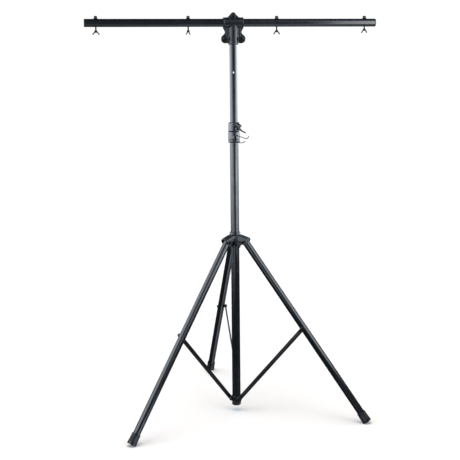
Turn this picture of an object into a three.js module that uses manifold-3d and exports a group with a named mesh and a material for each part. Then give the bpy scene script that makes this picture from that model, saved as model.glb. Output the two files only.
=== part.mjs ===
// Lighting T-bar stand: a folding tripod on a sliding hub, a telescopic mast
// and a straight lamp bar held in a two-shell clamp casting.
// Millimetres, +Z up. The origin is the centre of the flat underside of the
// column's end cap, on the column axis. Heights below are measured from a
// datum DATUM under that face, and the whole group is lowered by DATUM at the
// end; the floor the stand is on is at FLOOR_Z from the same datum.

import * as THREE from "three";
import { mergeVertices } from "three/addons/utils/BufferGeometryUtils.js";
import Module from "manifold-3d";

const wasm = await Module();
wasm.setup();

// ---------------------------------------------------------------- dimensions
const DATUM = 20; // datum to the underside of the column cap
const FLOOR_Z = -4;
const GAP = 0.3; // running gap between touching pieces

const COLUMN_R = 18; // outer tube, 36 mm
const COLUMN_WALL = 1.5;
const COLUMN_Z = [27.4, 1200];

const MAST_R = 16; // inner tube, 32 mm
const MAST_WALL = 1.5;
const MAST_Z = [342, 1627];
const PIN_HOLE_R = 5;
const PIN_Z = 1179;
const PIN_HOLES_Z = [647, 913, PIN_Z, 1445];
const RIVET_HOLE_Z = 1428;

const COLLAR_R = 24.6;
const COLLAR_Z = [1159, 1242.5];
const COLLAR_SPLIT_Z = 1205;
const EAR_AZ = 305;
const EAR_R = 27.5; // clamp bolt's distance from the column axis
const EAR_Z = 1228;

const BAR_Z = 1644; // lamp bar axis
const BAR_R = 16; // 32 mm tube, as the mast
const BAR_WALL = 1.5;
const BAR_HALF = 597;
const BAR_SHIFT = -1.7; // how far off centre the bar sits in its clamp
const LAMP_X = [-550.5, -181.5, 181.5, 550.5];
const LAMP_NUT_Z = [1613, 1613, 1613, 1618]; // upper face of each wing nut
const LAMP_NUT_TURN = [8, 50, 12, 128]; // degrees about the bolt, as left
const LAMP_BOLT_R = 3;

const HUB_PIVOT = { r: 45, z: 744.3 };
const LEG_ANGLE = 35.23; // from the vertical
const LEG_R = 15; // 30 mm tube
const LEG_WALL = 1.5;
const LEG_LENGTH = 904; // pivot to the end of the tube's foot
const LEG_TOP = 3; // tube above the pivot
const LEG_AZ = { rear: 95, left: 215, right: 335 };

const STRUT_ON_LEG = 436.7; // hub pivot to strut pivot along the leg
const STRUT_BASE = { r: 16, z: 50.4 };
const STRUT_SIDE = 20.5; // strut centre plane, beside the leg's own plane
const STRUT_W = 17.5;
const STRUT_T = 3.2;
const STRUT_PIN_R = 3;

const HUB_BORE_R = 19.85;
const HUB_SLEEVE_R = 23.4;
const HUB_Z = [721, 771];
const CHANNEL_IN = 16.9; // half the inner width of a hub arm
const CHANNEL_OUT = 19.2;
const KNOB_AZ = 283;
const KNOB_Z = 736;

// sides of round pieces
const BIG = 28;
const MID = 16;
const SMALL = 10;
const rad = THREE.MathUtils.degToRad;

// ------------------------------------------------------------------- helpers
function meshData(geometry) {
  const g = (geometry.index ? geometry.toNonIndexed() : geometry).clone();
  for (const key of Object.keys(g.attributes))
    if (key !== "position") g.deleteAttribute(key);
  const m = mergeVertices(g, 1e-4);
  const p = m.attributes.position.array;
  const t = Array.from(m.index.array);
  const tris = [];
  for (let i = 0; i < t.length; i += 3)
    if (t[i] !== t[i + 1] && t[i + 1] !== t[i + 2] && t[i] !== t[i + 2])
      tris.push(t[i], t[i + 1], t[i + 2]);
  let volume = 0;
  const a = new THREE.Vector3(),
    b = new THREE.Vector3(),
    c = new THREE.Vector3();
  for (let i = 0; i < tris.length; i += 3) {
    a.fromArray(p, 3 * tris[i]);
    b.fromArray(p, 3 * tris[i + 1]);
    c.fromArray(p, 3 * tris[i + 2]);
    volume += a.dot(b.cross(c));
  }
  if (volume < 0)
    for (let i = 0; i < tris.length; i += 3)
      [tris[i + 1], tris[i + 2]] = [tris[i + 2], tris[i + 1]];
  return { vertProperties: new Float32Array(p), triVerts: new Uint32Array(tris) };
}

function solid(geometry) {
  return new wasm.Manifold(
    new wasm.Mesh({ numProp: 3, ...meshData(geometry) }),
  );
}

function toGeometry(s) {
  const m = s.getMesh();
  const n = m.numProp;
  const p = new Float32Array(m.numVert * 3);
  for (let i = 0; i < m.numVert; i++)
    p.set(m.vertProperties.subarray(i * n, i * n + 3), i * 3);
  const g = new THREE.BufferGeometry();
  g.setAttribute("position", new THREE.BufferAttribute(p, 3));
  g.setIndex(new THREE.BufferAttribute(new Uint32Array(m.triVerts), 1));
  const flat = g.toNonIndexed();
  flat.computeVertexNormals();
  return flat;
}

// A profile of [radius, height] points turned about Z.
function turned(points, seg = BIG) {
  return new THREE.LatheGeometry(
    points.map(([r, z]) => new THREE.Vector2(r, z)),
    seg,
  ).rotateX(Math.PI / 2);
}

function ring(r0, r1, z0, z1, seg = BIG) {
  return solid(
    turned([[r0, z0], [r1, z0], [r1, z1], [r0, z1], [r0, z0]], seg),
  );
}

// A cylinder between two points.
function rod(r, from, to, seg = MID, r2 = r) {
  const a = new THREE.Vector3(...from),
    b = new THREE.Vector3(...to);
  const d = b.clone().sub(a);
  const g = new THREE.CylinderGeometry(r2, r, d.length(), seg);
  g.translate(0, d.length() / 2, 0);
  g.applyQuaternion(
    new THREE.Quaternion().setFromUnitVectors(
      new THREE.Vector3(0, 1, 0),
      d.normalize(),
    ),
  );
  return solid(g.translate(a.x, a.y, a.z));
}

function box(lo, hi) {
  return solid(
    new THREE.BoxGeometry(hi[0] - lo[0], hi[1] - lo[1], hi[2] - lo[2]).translate(
      (lo[0] + hi[0]) / 2,
      (lo[1] + hi[1]) / 2,
      (lo[2] + hi[2]) / 2,
    ),
  );
}

// An outline in the X-Z plane, given depth from y0 to y1.
function plate(shape, y0, y1, bevel = 0, segments = 5) {
  const g = new THREE.ExtrudeGeometry(shape, {
    depth: y1 - y0 - 2 * bevel,
    steps: 1,
    curveSegments: segments,
    bevelEnabled: bevel > 0,
    bevelThickness: bevel,
    bevelSize: bevel,
    bevelOffset: -bevel,
    bevelSegments: 1,
  });
  g.translate(0, 0, bevel);
  g.rotateX(Math.PI / 2); // shape Y becomes Z, depth runs to -Y
  return solid(g.translate(0, y1, 0));
}

function moved(s, matrix) {
  return solid(toGeometry(s).applyMatrix4(matrix));
}

function aboutZ(s, degrees) {
  return moved(s, new THREE.Matrix4().makeRotationZ(rad(degrees)));
}

// A hexagon-headed fastener along +Y: head behind y0, shank to y1, and an
// optional nut whose outer face is at y1 less the tail.
function hexPrism(acrossFlats, from, to) {
  return rod(acrossFlats / Math.sqrt(3), from, to, 6);
}

const group = new THREE.Group();
group.position.z = -DATUM;

const black = (roughness, colour = 0x15171a, metalness = 0.35) =>
  new THREE.MeshStandardMaterial({ color: colour, roughness, metalness });

function add(name, s, material, parent = group) {
  const mesh = new THREE.Mesh(toGeometry(s), material);
  mesh.name = name;
  parent.add(mesh);
  return mesh;
}

// -------------------------------------------------------------------- column
{
  let tube = ring(COLUMN_R - COLUMN_WALL, COLUMN_R, ...COLUMN_Z, BIG);
  tube = tube.subtract(rod(4.8, [0, -40, PIN_Z], [0, 0, PIN_Z], MID));
  add("column_tube", tube, black(0.3));

  // moulded cap: a cup round the tube's foot, with a plug inside it
  const cup = solid(
    turned([
      [0, 20], [13.5, 20], [17.6, 21.8], [19.6, 26], [19.6, 38], [18.3, 38],
      [18.3, 27.1], [16.2, 27.1], [16.2, 49.5], [13.4, 49.5], [13.4, 26],
      [0, 26],
    ]),
  );
  add("column_end_cap", cup, black(0.6, 0x121212, 0));

  // band with three bosses that the struts are bolted to
  let band = ring(COLUMN_R + GAP, COLUMN_R + 1.9, 38.6, 63, BIG);
  for (const az of Object.values(LEG_AZ)) {
    let boss = box([8.2, -18.4, 40.5], [25, -8.2, 61]);
    boss = boss.add(rod(10.2, [STRUT_BASE.r, -18.4, STRUT_BASE.z], [STRUT_BASE.r, -8.2, STRUT_BASE.z], MID));
    boss = boss.subtract(rod(COLUMN_R + GAP + 0.4, [0, 0, 30], [0, 0, 70], BIG));
    band = band.add(aboutZ(boss, az));
  }
  for (const az of Object.values(LEG_AZ)) {
    const bore = rod(STRUT_PIN_R + GAP, [STRUT_BASE.r, -30, STRUT_BASE.z], [STRUT_BASE.r, -12.6, STRUT_BASE.z], SMALL);
    band = band.subtract(aboutZ(bore, az));
  }
  add("strut_bracket", band, black(0.45));
}

// ---------------------------------------------------------------------- mast
{
  let tube = ring(MAST_R - MAST_WALL, MAST_R, ...MAST_Z, BIG);
  for (const z of PIN_HOLES_Z)
    tube = tube.subtract(rod(PIN_HOLE_R, [0, -30, z], [0, 30, z], MID));
  tube = tube.subtract(rod(2.2, [0, -30, RIVET_HOLE_Z], [0, 0, RIVET_HOLE_Z], SMALL));
  add("mast_tube", tube, black(0.25));

  // plastic slider that closes the mast's lower end and guides it
  const slider = solid(
    turned([
      [0, 334], [14.8, 334], [16.2, 335.5], [16.2, 341.7], [14.2, 341.7],
      [14.2, 370], [11.5, 370], [11.5, 338], [0, 338],
    ]),
  );
  add("mast_slider", slider, black(0.6, 0x101010, 0));
}

// -------------------------------------------------------------- clamp collar
{
  const [z0, z1] = COLLAR_Z;
  let body = solid(
    turned([
      [0, z0], [COLLAR_R - 3, z0], [COLLAR_R - 0.8, z0 + 1.6], [COLLAR_R, z0 + 5],
      [COLLAR_R, z0 + 40], [COLLAR_R - 1, z0 + 48], [COLLAR_R - 1, z1 - 6],
      [COLLAR_R - 2.2, z1 - 2], [COLLAR_R - 5, z1], [0, z1],
    ], BIG),
  );
  // ears beside the split
  let ears = plate(
    (() => {
      const s = new THREE.Shape();
      s.moveTo(12, COLLAR_SPLIT_Z + 4);
      s.lineTo(24, COLLAR_SPLIT_Z + 8);
      s.lineTo(EAR_R, EAR_Z - 7.6);
      s.absarc(EAR_R, EAR_Z, 7.6, -Math.PI / 2.4, Math.PI / 2.4, false);
      s.lineTo(25, EAR_Z + 9);
      s.lineTo(20, z1 - 3);
      s.lineTo(12, z1 - 3);
      s.closePath();
      return s;
    })(),
    -11, 7.4,
  );
  let boss = rod(9, [0, -18, PIN_Z], [0, -31.5, PIN_Z], 24, 8);
  body = body.add(aboutZ(ears, EAR_AZ)).add(boss);
  body = body.subtract(rod(COLUMN_R + GAP, [0, 0, z0 - 1], [0, 0, COLUMN_Z[1] + GAP], BIG));
  body = body.subtract(rod(MAST_R + GAP + 0.1, [0, 0, z0 - 1], [0, 0, z1 + 1], BIG));
  body = body.subtract(aboutZ(box([0, -1.1, COLLAR_SPLIT_Z], [60, 1.1, z1 + 1]), EAR_AZ));
  body = body.subtract(aboutZ(box([-5, -40, COLLAR_SPLIT_Z - 1.1], [60, 40, COLLAR_SPLIT_Z + 1.1]), EAR_AZ));
  body = body.subtract(aboutZ(rod(3.4, [EAR_R, -30, EAR_Z], [EAR_R, 30, EAR_Z], SMALL), EAR_AZ));
  body = body.subtract(rod(4.8, [0, -40, PIN_Z], [0, 0, PIN_Z], MID));
  add("clamp_collar", body, black(0.35, 0x1b1e21));

  const frame = new THREE.Group();
  frame.rotation.z = rad(EAR_AZ);
  group.add(frame);
  const bolt = rod(3, [EAR_R, -21.6, EAR_Z], [EAR_R, 14.2, EAR_Z], SMALL)
    .add(solid(turned([[0, 0], [5.6, 0], [5.6, 1.6], [3.6, 3.6], [0, 4.2]], MID)
      .rotateX(Math.PI / 2).translate(EAR_R, -20.6, EAR_Z)));
  add("clamp_bolt", bolt, black(0.35), frame);
  add("clamp_nut",
    hexPrism(10, [EAR_R, 7.7, EAR_Z], [EAR_R, 12.4, EAR_Z]).subtract(
      rod(3 + GAP, [EAR_R, 5, EAR_Z], [EAR_R, 25, EAR_Z], SMALL)),
    black(0.4), frame);

  // lever: a hub on the bolt and a bent tapering arm
  const arm = new THREE.Shape();
  arm.moveTo(0, 7);
  arm.bezierCurveTo(8, 11, 15, 9, 21, -1);
  arm.bezierCurveTo(26, -10, 33, -14, 41, -17.4);
  arm.lineTo(57, -22.8);
  arm.quadraticCurveTo(60.6, -24.2, 59.4, -26.2);
  arm.quadraticCurveTo(58.2, -27.5, 54.8, -26.4);
  arm.lineTo(38.6, -21.8);
  arm.bezierCurveTo(28.5, -18.4, 21, -14, 15, -7);
  arm.bezierCurveTo(10, -1, 5, -4, 0, -7);
  arm.closePath();
  let lever = moved(plate(arm, -19.4, -13.4),
    new THREE.Matrix4().makeTranslation(EAR_R, 0, EAR_Z));
  lever = lever.add(rod(7, [EAR_R, -20.2, EAR_Z], [EAR_R, -12.4, EAR_Z], MID));
  lever = lever.subtract(rod(3 + GAP, [EAR_R, -40, EAR_Z], [EAR_R, 0, EAR_Z], SMALL));
  add("clamp_lever", lever, black(0.4, 0x101214, 0.1), frame);

  // locking pin with a knuckle head, drawn clear of the mast
  let pin = rod(4.4, [0, -36.5, PIN_Z], [0, -18.2, PIN_Z], MID)
    .add(rod(3.2, [0, -18.4, PIN_Z], [0, -16.9, PIN_Z], MID))
    .add(rod(5.2, [0, -39, PIN_Z - 7.2], [0, -39, PIN_Z + 7.2], MID))
    .add(rod(6.4, [0, -36, PIN_Z], [0, -32.4, PIN_Z], MID));
  pin = pin.subtract(rod(1.9, [0, -39, PIN_Z - 20], [0, -39, PIN_Z + 20], SMALL));
  add("locking_pin", pin, black(0.35, 0x17191b, 0.6));

  // spring wire clip: one wire through the knuckle, its two ends curled
  const path = [
    [54.4, -40, 8], [52.4, -40, 1.8], [47, -40, -2.2], [38.5, -40, -0.6],
    [30, -40, 2.6], [22, -39.5, 5.4], [11, -39, 9.2], [4, -39, 11],
    [0, -39, 7.2], [0, -39, 0], [0, -39, -7.2], [4, -39, -12.4],
    [11, -39, -16.6], [22, -39.5, -19.2], [30, -40, -18.8], [36, -40, -16.2],
    [40, -40, -13],
  ].map(([x, y, z]) => new THREE.Vector3(x, y, PIN_Z + z));
  const curve = new THREE.CatmullRomCurve3(path, false, "centripetal");
  const round = new THREE.Shape();
  for (let i = 0; i < 6; i++) {
    const a = (i / 6) * 2 * Math.PI;
    const [x, y] = [1.5 * Math.cos(a), 1.5 * Math.sin(a)];
    if (i) round.lineTo(x, y);
    else round.moveTo(x, y);
  }
  round.closePath();
  add("pin_clip_wire",
    solid(new THREE.ExtrudeGeometry(round, { steps: 42, extrudePath: curve, bevelEnabled: false })),
    black(0.35, 0x17191b, 0.7));
}

// ------------------------------------------------------------------ T-clamp
{
  // outline of one shell, seen from the front, about the bar's axis
  const o = new THREE.Shape();
  o.moveTo(0, 41.4);
  o.quadraticCurveTo(5.5, 41, 9.5, 35.5);
  o.quadraticCurveTo(15, 27.5, 24, 21);
  o.lineTo(40.6, 20.3);
  o.lineTo(40.6, -18);
  o.bezierCurveTo(40.4, -26, 34, -30, 33.4, -36.5);
  o.bezierCurveTo(33, -42, 38, -46.5, 41, -49);
  o.bezierCurveTo(47.4, -53, 49.6, -59, 49.4, -64.5);
  o.bezierCurveTo(48.9, -74.5, 42, -81.4, 33, -81.4);
  o.bezierCurveTo(27, -81.4, 24, -79, 19.5, -82.5);
  o.lineTo(-19.5, -82.5);
  o.bezierCurveTo(-24, -79, -27, -81.4, -33, -81.4);
  o.bezierCurveTo(-42, -81.4, -48.9, -74.5, -49.4, -64.5);
  o.bezierCurveTo(-49.6, -59, -47.4, -53, -41, -49);
  o.bezierCurveTo(-38, -46.5, -33, -42, -33.4, -36.5);
  o.bezierCurveTo(-34, -30, -40.4, -26, -40.6, -18);
  o.lineTo(-40.6, 20.3);
  o.lineTo(-24, 21);
  o.quadraticCurveTo(-15, 27.5, -9.5, 35.5);
  o.quadraticCurveTo(-5.5, 41, 0, 41.4);
  const bolts = [[0, 27.4], [33, -64], [-33, -64]];
  let body = plate(o, -9, 9, 1.6);
  body = body.add(rod(20.6, [-40.6, 0, 0], [40.6, 0, 0], BIG));
  body = body.add(solid(turned([
    [0, -87], [18.4, -87], [19.7, -85.6], [19.7, -10], [12, -4], [0, -4],
  ], BIG)));
  for (const [x, z] of bolts)
    body = body.add(rod(x ? 10.5 : 8.5, [x, -11.5, z], [x, 11.5, z], MID));
  body = body.subtract(rod(BAR_R + GAP, [-60, 0, 0], [60, 0, 0], BIG));
  body = body.subtract(rod(MAST_R + GAP, [0, 0, -100], [0, 0, -16.6], BIG));
  for (const [x, z] of bolts)
    body = body.subtract(rod(3.4, [x, -30, z], [x, 30, z], SMALL));
  const half = (y0, y1) =>
    body.intersect(box([-90, y0, -120], [90, y1, 80]));
  const head = new THREE.Group();
  head.position.z = BAR_Z;
  group.add(head);
  add("t_clamp_front", half(-60, -0.15), black(0.5, 0x1c1f24), head);
  add("t_clamp_rear", half(0.15, 60), black(0.5, 0x1c1f24), head);
  ["top", "right", "left"].forEach((side, i) => {
    const [x, z] = bolts[i];
    const screw = rod(3, [x, -12.8, z], [x, 19.6, z], SMALL)
      .add(solid(turned([[0, 0], [6, 0], [6, 1.6], [4.4, 4], [1.6, 5], [0, 5]], MID)
        .rotateX(Math.PI / 2).translate(x, -11.8, z)));
    add(`t_clamp_bolt_${side}`, screw, black(0.35), head);
    add(`t_clamp_nut_${side}`,
      hexPrism(10, [x, 11.8, z], [x, 17, z]).subtract(
        rod(3 + GAP, [x, 5, z], [x, 25, z], SMALL)),
      black(0.4), head);
  });

  // lamp bar
  const barGroup = new THREE.Group();
  barGroup.position.x = BAR_SHIFT;
  head.add(barGroup);
  const tube = moved(ring(BAR_R - BAR_WALL, BAR_R, -BAR_HALF + 3, BAR_HALF - 3, BIG),
    new THREE.Matrix4().makeRotationY(Math.PI / 2));
  let bar = tube;
  for (const x of LAMP_X)
    bar = bar.subtract(rod(LAMP_BOLT_R + GAP, [x, 0, -30], [x, 0, 30], SMALL));
  add("lamp_bar", bar, black(0.3), barGroup);
  for (const side of [-1, 1]) {
    const plug = solid(turned([
      [0, BAR_HALF], [14.8, BAR_HALF], [16, BAR_HALF - 1.2],
      [16, BAR_HALF - 2.7], [14.2, BAR_HALF - 2.7], [14.2, BAR_HALF - 18],
      [0, BAR_HALF - 18],
    ], BIG).rotateY((side * Math.PI) / 2));
    add(side < 0 ? "bar_cap_left" : "bar_cap_right", plug, black(0.6, 0x101010, 0), barGroup);
  }

  // lamp bolts: flanged head on top, wing nut and washer hanging below
  LAMP_X.forEach((x, i) => {
    const n = i + 1;
    const zn = LAMP_NUT_Z[i] - BAR_Z;
    const head0 = BAR_R + GAP;
    let bolt = rod(LAMP_BOLT_R, [x, 0, zn - 7.5], [x, 0, head0 + 3], SMALL);
    bolt = bolt.add(rod(8.3, [x, 0, head0], [x, 0, head0 + 3], MID, 7.9));
    bolt = bolt.add(hexPrism(12.6, [x, 0, head0 + 2], [x, 0, head0 + 9.6]));
    bolt = bolt.add(rod(6.1, [x, 0, head0 + 9], [x, 0, head0 + 11.4], SMALL, 4.4));
    add(`lamp_bolt_${n}`, bolt, black(0.35), barGroup);
    add(`lamp_washer_${n}`,
      moved(ring(LAMP_BOLT_R + GAP, 5.8, zn + GAP, zn + GAP + 1.2, MID),
        new THREE.Matrix4().makeTranslation(x, 0, 0)),
      black(0.4, 0x202327, 0.7), barGroup);
    // wings point down and out
    const w = new THREE.Shape();
    w.moveTo(0, -0.8);
    w.lineTo(4.4, -0.8);
    w.bezierCurveTo(7, -1.8, 9.2, -6, 12.4, -9.8);
    w.bezierCurveTo(14.6, -12.2, 15, -15, 13.4, -16);
    w.bezierCurveTo(11.2, -16.8, 9.2, -13.4, 7.4, -10.4);
    w.lineTo(5.2, -7);
    w.lineTo(0, -5.6);
    w.lineTo(-5.2, -7);
    w.lineTo(-7.4, -10.4);
    w.bezierCurveTo(-9.2, -13.4, -11.2, -16.8, -13.4, -16);
    w.bezierCurveTo(-15, -15, -14.6, -12.2, -12.4, -9.8);
    w.bezierCurveTo(-9.2, -6, -7, -1.8, -4.4, -0.8);
    w.closePath();
    let nut = plate(w, -1.7, 1.7, 0.5, 3)
      .add(rod(4.9, [0, 0, -7], [0, 0, 0], 20, 5.8))
      .subtract(rod(LAMP_BOLT_R + GAP, [0, 0, -20], [0, 0, 5], MID));
    const g = new THREE.Group();
    g.position.set(x, 0, zn);
    g.rotation.z = rad(LAMP_NUT_TURN[i]);
    barGroup.add(g);
    add(`lamp_wing_nut_${n}`, nut, black(0.35, 0x15171a, 0.6), g);
  });
}

// ----------------------------------------------------------------------- hub
{
  let hub = ring(HUB_BORE_R, HUB_SLEEVE_R, ...HUB_Z, BIG);
  const pr = HUB_PIVOT.r,
    pz = HUB_PIVOT.z;
  const side = new THREE.Shape();
  side.moveTo(16, pz + 26);
  side.lineTo(26, pz + 25.3);
  side.lineTo(58, pz + 14.3);
  side.quadraticCurveTo(63, pz + 12.2, 62.6, pz + 6);
  side.quadraticCurveTo(61, pz - 4, 54, pz - 9);
  side.quadraticCurveTo(47, pz - 13.5, 38, pz - 12.5);
  side.lineTo(16, pz - 18.5);
  side.closePath();
  for (const az of Object.values(LEG_AZ)) {
    let arm = plate(side, -CHANNEL_OUT, CHANNEL_OUT);
    // hollow between the two side plates, under the sloping web
    const inner = new THREE.Shape();
    inner.moveTo(HUB_SLEEVE_R - 1, pz - 60);
    inner.lineTo(90, pz - 60);
    inner.lineTo(90, pz + 1);
    inner.lineTo(58, pz + 12);
    inner.lineTo(26, pz + 23);
    inner.lineTo(HUB_SLEEVE_R - 1, pz + 23.4);
    inner.closePath();
    arm = arm.subtract(plate(inner, -CHANNEL_IN, CHANNEL_IN));
    arm = arm.subtract(rod(HUB_BORE_R + 1, [0, 0, 600], [0, 0, 900], BIG));
    arm = arm.subtract(rod(4 + GAP, [pr, -40, pz], [pr, 40, pz], SMALL));
    hub = hub.add(aboutZ(arm, az));
  }
  hub = hub.add(aboutZ(rod(7.5, [21.5, 0, KNOB_Z], [30, 0, KNOB_Z], MID), KNOB_AZ));
  hub = hub.subtract(aboutZ(rod(4.4, [10, 0, KNOB_Z], [40, 0, KNOB_Z], SMALL), KNOB_AZ));
  add("hub_spider", hub, black(0.4));

  add("hub_ferrule",
    ring(0.1, 24.2, HUB_Z[1] + GAP, HUB_Z[1] + 13, BIG).intersect(
      solid(turned([
        [0, HUB_Z[1] + GAP], [24.2, HUB_Z[1] + GAP], [24.2, HUB_Z[1] + 2.6],
        [21.6, HUB_Z[1] + 11.4], [21, HUB_Z[1] + 12.4], [0, HUB_Z[1] + 12.4],
      ], BIG))).subtract(rod(HUB_BORE_R, [0, 0, 700], [0, 0, 900], BIG)),
    black(0.35, 0x2a2e33, 0.5));

  // locking knob: stud, round centre and three lobes
  let knob = rod(4, [20.2, 0, KNOB_Z], [38, 0, KNOB_Z], SMALL)
    .add(rod(7.4, [34, 0, KNOB_Z], [52, 0, KNOB_Z], 24, 6.6));
  for (let i = 0; i < 3; i++) {
    const a = rad(30 + 120 * i);
    knob = knob.add(rod(4.6, [40, 9.6 * Math.cos(a), KNOB_Z + 9.6 * Math.sin(a)],
      [50, 9.6 * Math.cos(a), KNOB_Z + 9.6 * Math.sin(a)], SMALL));
  }
  add("hub_lock_knob", aboutZ(knob, KNOB_AZ), black(0.5, 0x0d0d0e, 0));
}

// ------------------------------------------------------------------ tripod
const theta = rad(LEG_ANGLE);
for (const [name, az] of Object.entries(LEG_AZ)) {
  const plane = new THREE.Group(); // X outwards, Z up, Y across the leg
  plane.rotation.z = rad(az);
  group.add(plane);

  const leg = new THREE.Group(); // leg runs down its own -Z from the hub pivot
  leg.position.set(HUB_PIVOT.r, 0, HUB_PIVOT.z);
  leg.rotation.y = -theta;
  plane.add(leg);
  leg.updateMatrix();

  let tube = ring(LEG_R - LEG_WALL, LEG_R, -LEG_LENGTH + 2.4, LEG_TOP, BIG);
  tube = tube.subtract(rod(6.8, [0, -30, 0], [0, 30, 0], MID));
  tube = tube.subtract(rod(STRUT_PIN_R + GAP, [0, -30, -STRUT_ON_LEG], [0, 30, -STRUT_ON_LEG], SMALL));
  add(`leg_tube_${name}`, tube, black(0.3), leg);

  // rubber foot with its sole moulded flat to the floor
  const e = -LEG_LENGTH;
  let foot = solid(turned([
    [0, e - 4], [17, e - 4], [19.5, e - 1.6], [19, e + 24], [17.4, e + 42],
    [LEG_R + GAP, e + 42], [LEG_R + GAP, e + 2], [0, e + 2],
  ], BIG));
  const floor = new THREE.BoxGeometry(1200, 400, 200).translate(600, 0, FLOOR_Z - 100);
  floor.applyMatrix4(leg.matrix.clone().invert());
  foot = foot.subtract(solid(floor));
  add(`leg_foot_${name}`, foot, black(0.85, 0x101010, 0), leg);

  // pivot bolt through the hub arm and the leg
  const pr = HUB_PIVOT.r,
    pz = HUB_PIVOT.z;
  let pivot = rod(4, [pr, -20, pz], [pr, 27.5, pz], SMALL)
    .add(solid(turned([[0, 0], [6.4, 0], [6.4, 3], [4.6, 5], [0, 5.6]], MID)
      .rotateX(Math.PI / 2).translate(pr, -CHANNEL_OUT - GAP, pz)))
    .add(hexPrism(12.6, [pr, CHANNEL_OUT + GAP, pz], [pr, CHANNEL_OUT + 6.3, pz]));
  add(`leg_pivot_bolt_${name}`, pivot, black(0.35), plane);

  // strut: flat bar with round ends and a pressed rib
  const sx = pr + STRUT_ON_LEG * Math.sin(theta),
    sz = pz - STRUT_ON_LEG * Math.cos(theta);
  const dx = sx - STRUT_BASE.r,
    dz = sz - STRUT_BASE.z;
  const length = Math.hypot(dx, dz),
    lean = Math.atan2(dx, dz);
  const bar = new THREE.Shape();
  const hw = STRUT_W / 2;
  bar.absarc(0, 0, hw, Math.PI, 2 * Math.PI, false);
  bar.absarc(0, length, hw, 0, Math.PI, false);
  bar.closePath();
  let strut = plate(bar, -STRUT_T / 2, STRUT_T / 2);
  const rib = new THREE.Shape();
  rib.absarc(0, 26, 2.4, Math.PI, 2 * Math.PI, false);
  rib.absarc(0, length - 26, 2.4, 0, Math.PI, false);
  rib.closePath();
  strut = strut.add(plate(rib, -STRUT_T / 2 - 0.9, 0));
  for (const z of [0, length])
    strut = strut.subtract(rod(STRUT_PIN_R + GAP, [0, -20, z], [0, 20, z], SMALL));
  const strutGroup = new THREE.Group();
  strutGroup.position.set(STRUT_BASE.r, -STRUT_SIDE, STRUT_BASE.z);
  strutGroup.rotation.y = lean;
  plane.add(strutGroup);
  add(`strut_${name}`, strut, black(0.45), strutGroup);

  // bolt at the column's foot
  add(`strut_base_bolt_${name}`,
    rod(STRUT_PIN_R, [STRUT_BASE.r, -STRUT_SIDE - 3, STRUT_BASE.z], [STRUT_BASE.r, -13, STRUT_BASE.z], SMALL)
      .add(solid(turned([[0, 0], [6.2, 0], [6.2, 2.6], [4.4, 4.8], [0, 5.4]], MID)
        .rotateX(Math.PI / 2).translate(STRUT_BASE.r, -STRUT_SIDE - 2.9, STRUT_BASE.z))),
    black(0.4), plane);

  // bolt, nut and spacer where the strut meets the leg
  const at = new THREE.Group();
  at.position.set(0, 0, -STRUT_ON_LEG);
  leg.add(at);
  add(`strut_leg_bolt_${name}`,
    rod(STRUT_PIN_R, [0, -STRUT_SIDE - 8.2, 0], [0, LEG_R + 1, 0], SMALL)
      .add(solid(turned([[0, 0], [5.6, 0], [5.6, 2.4], [4, 4.2], [0, 4.8]], MID)
        .rotateX(-Math.PI / 2).translate(0, LEG_R + GAP, 0)))
      .add(hexPrism(10, [0, -STRUT_SIDE - 6.9, 0], [0, -STRUT_SIDE - 2.9, 0])),
    black(0.35, 0x2a2c2f, 0.7), at);
  add(`strut_spacer_${name}`,
    moved(ring(STRUT_PIN_R + GAP, 6.5, LEG_R + GAP, STRUT_SIDE - STRUT_T / 2 - GAP, MID),
      new THREE.Matrix4().makeRotationX(Math.PI / 2)),
    black(0.7, 0x101010, 0), at);
}

export default group;
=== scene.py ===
import math

import bmesh
import bpy
import numpy as np
from mathutils import Matrix, Vector
from mathutils.geometry import delaunay_2d_cdt


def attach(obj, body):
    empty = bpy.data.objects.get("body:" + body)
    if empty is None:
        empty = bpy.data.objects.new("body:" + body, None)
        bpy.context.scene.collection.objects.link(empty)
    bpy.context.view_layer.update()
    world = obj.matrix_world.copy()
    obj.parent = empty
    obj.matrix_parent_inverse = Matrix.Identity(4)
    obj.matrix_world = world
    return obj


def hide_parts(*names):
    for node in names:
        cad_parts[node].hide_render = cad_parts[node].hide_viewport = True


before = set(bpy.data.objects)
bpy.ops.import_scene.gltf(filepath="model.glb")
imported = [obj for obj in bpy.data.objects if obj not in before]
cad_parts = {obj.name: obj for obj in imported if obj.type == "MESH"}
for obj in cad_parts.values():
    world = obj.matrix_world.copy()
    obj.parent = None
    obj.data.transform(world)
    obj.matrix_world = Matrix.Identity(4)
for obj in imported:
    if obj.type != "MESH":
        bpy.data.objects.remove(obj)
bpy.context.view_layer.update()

DATUM = 20.0
scene = bpy.context.scene
rad = math.radians

# ------------------------------------------------------------------ dimensions
FLOOR_Z = -4.0
COLUMN_R, MAST_R, BAR_R, LEG_R, WALL = 18.0, 16.0, 16.0, 15.0, 1.5
COLUMN_Z, MAST_Z = (27.4, 1200.0), (342.0, 1627.0)
PIN_Z, PIN_HOLES_Z, RIVET_Z = 1179.0, (647.0, 913.0, 1179.0, 1445.0), 1428.0
COLLAR_Z, SPLIT_Z, COLLAR_R = (1159.0, 1242.5), 1205.0, 24.6
EAR_AZ, EAR_R, EAR_Z = 305.0, 27.5, 1228.0
BAR_Z, BAR_HALF, BAR_SHIFT = 1644.0, 597.0, -1.7
LAMP_X = (-550.5, -181.5, 181.5, 550.5)
LAMP_NUT_Z = (1613.0, 1613.0, 1613.0, 1618.0)
LAMP_NUT_TURN = (8.0, 50.0, 12.0, 128.0)
PIVOT_R, PIVOT_Z, LEG_ANGLE, LEG_LENGTH, LEG_TOP = 45.0, 744.3, 35.23, 904.0, 3.0
LEG_AZ = {"rear": 95.0, "left": 215.0, "right": 335.0}
STRUT_ON_LEG, BASE_R, BASE_Z, STRUT_SIDE = 436.7, 16.0, 50.4, 20.5
STRUT_W, STRUT_T = 17.5, 3.2
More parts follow.
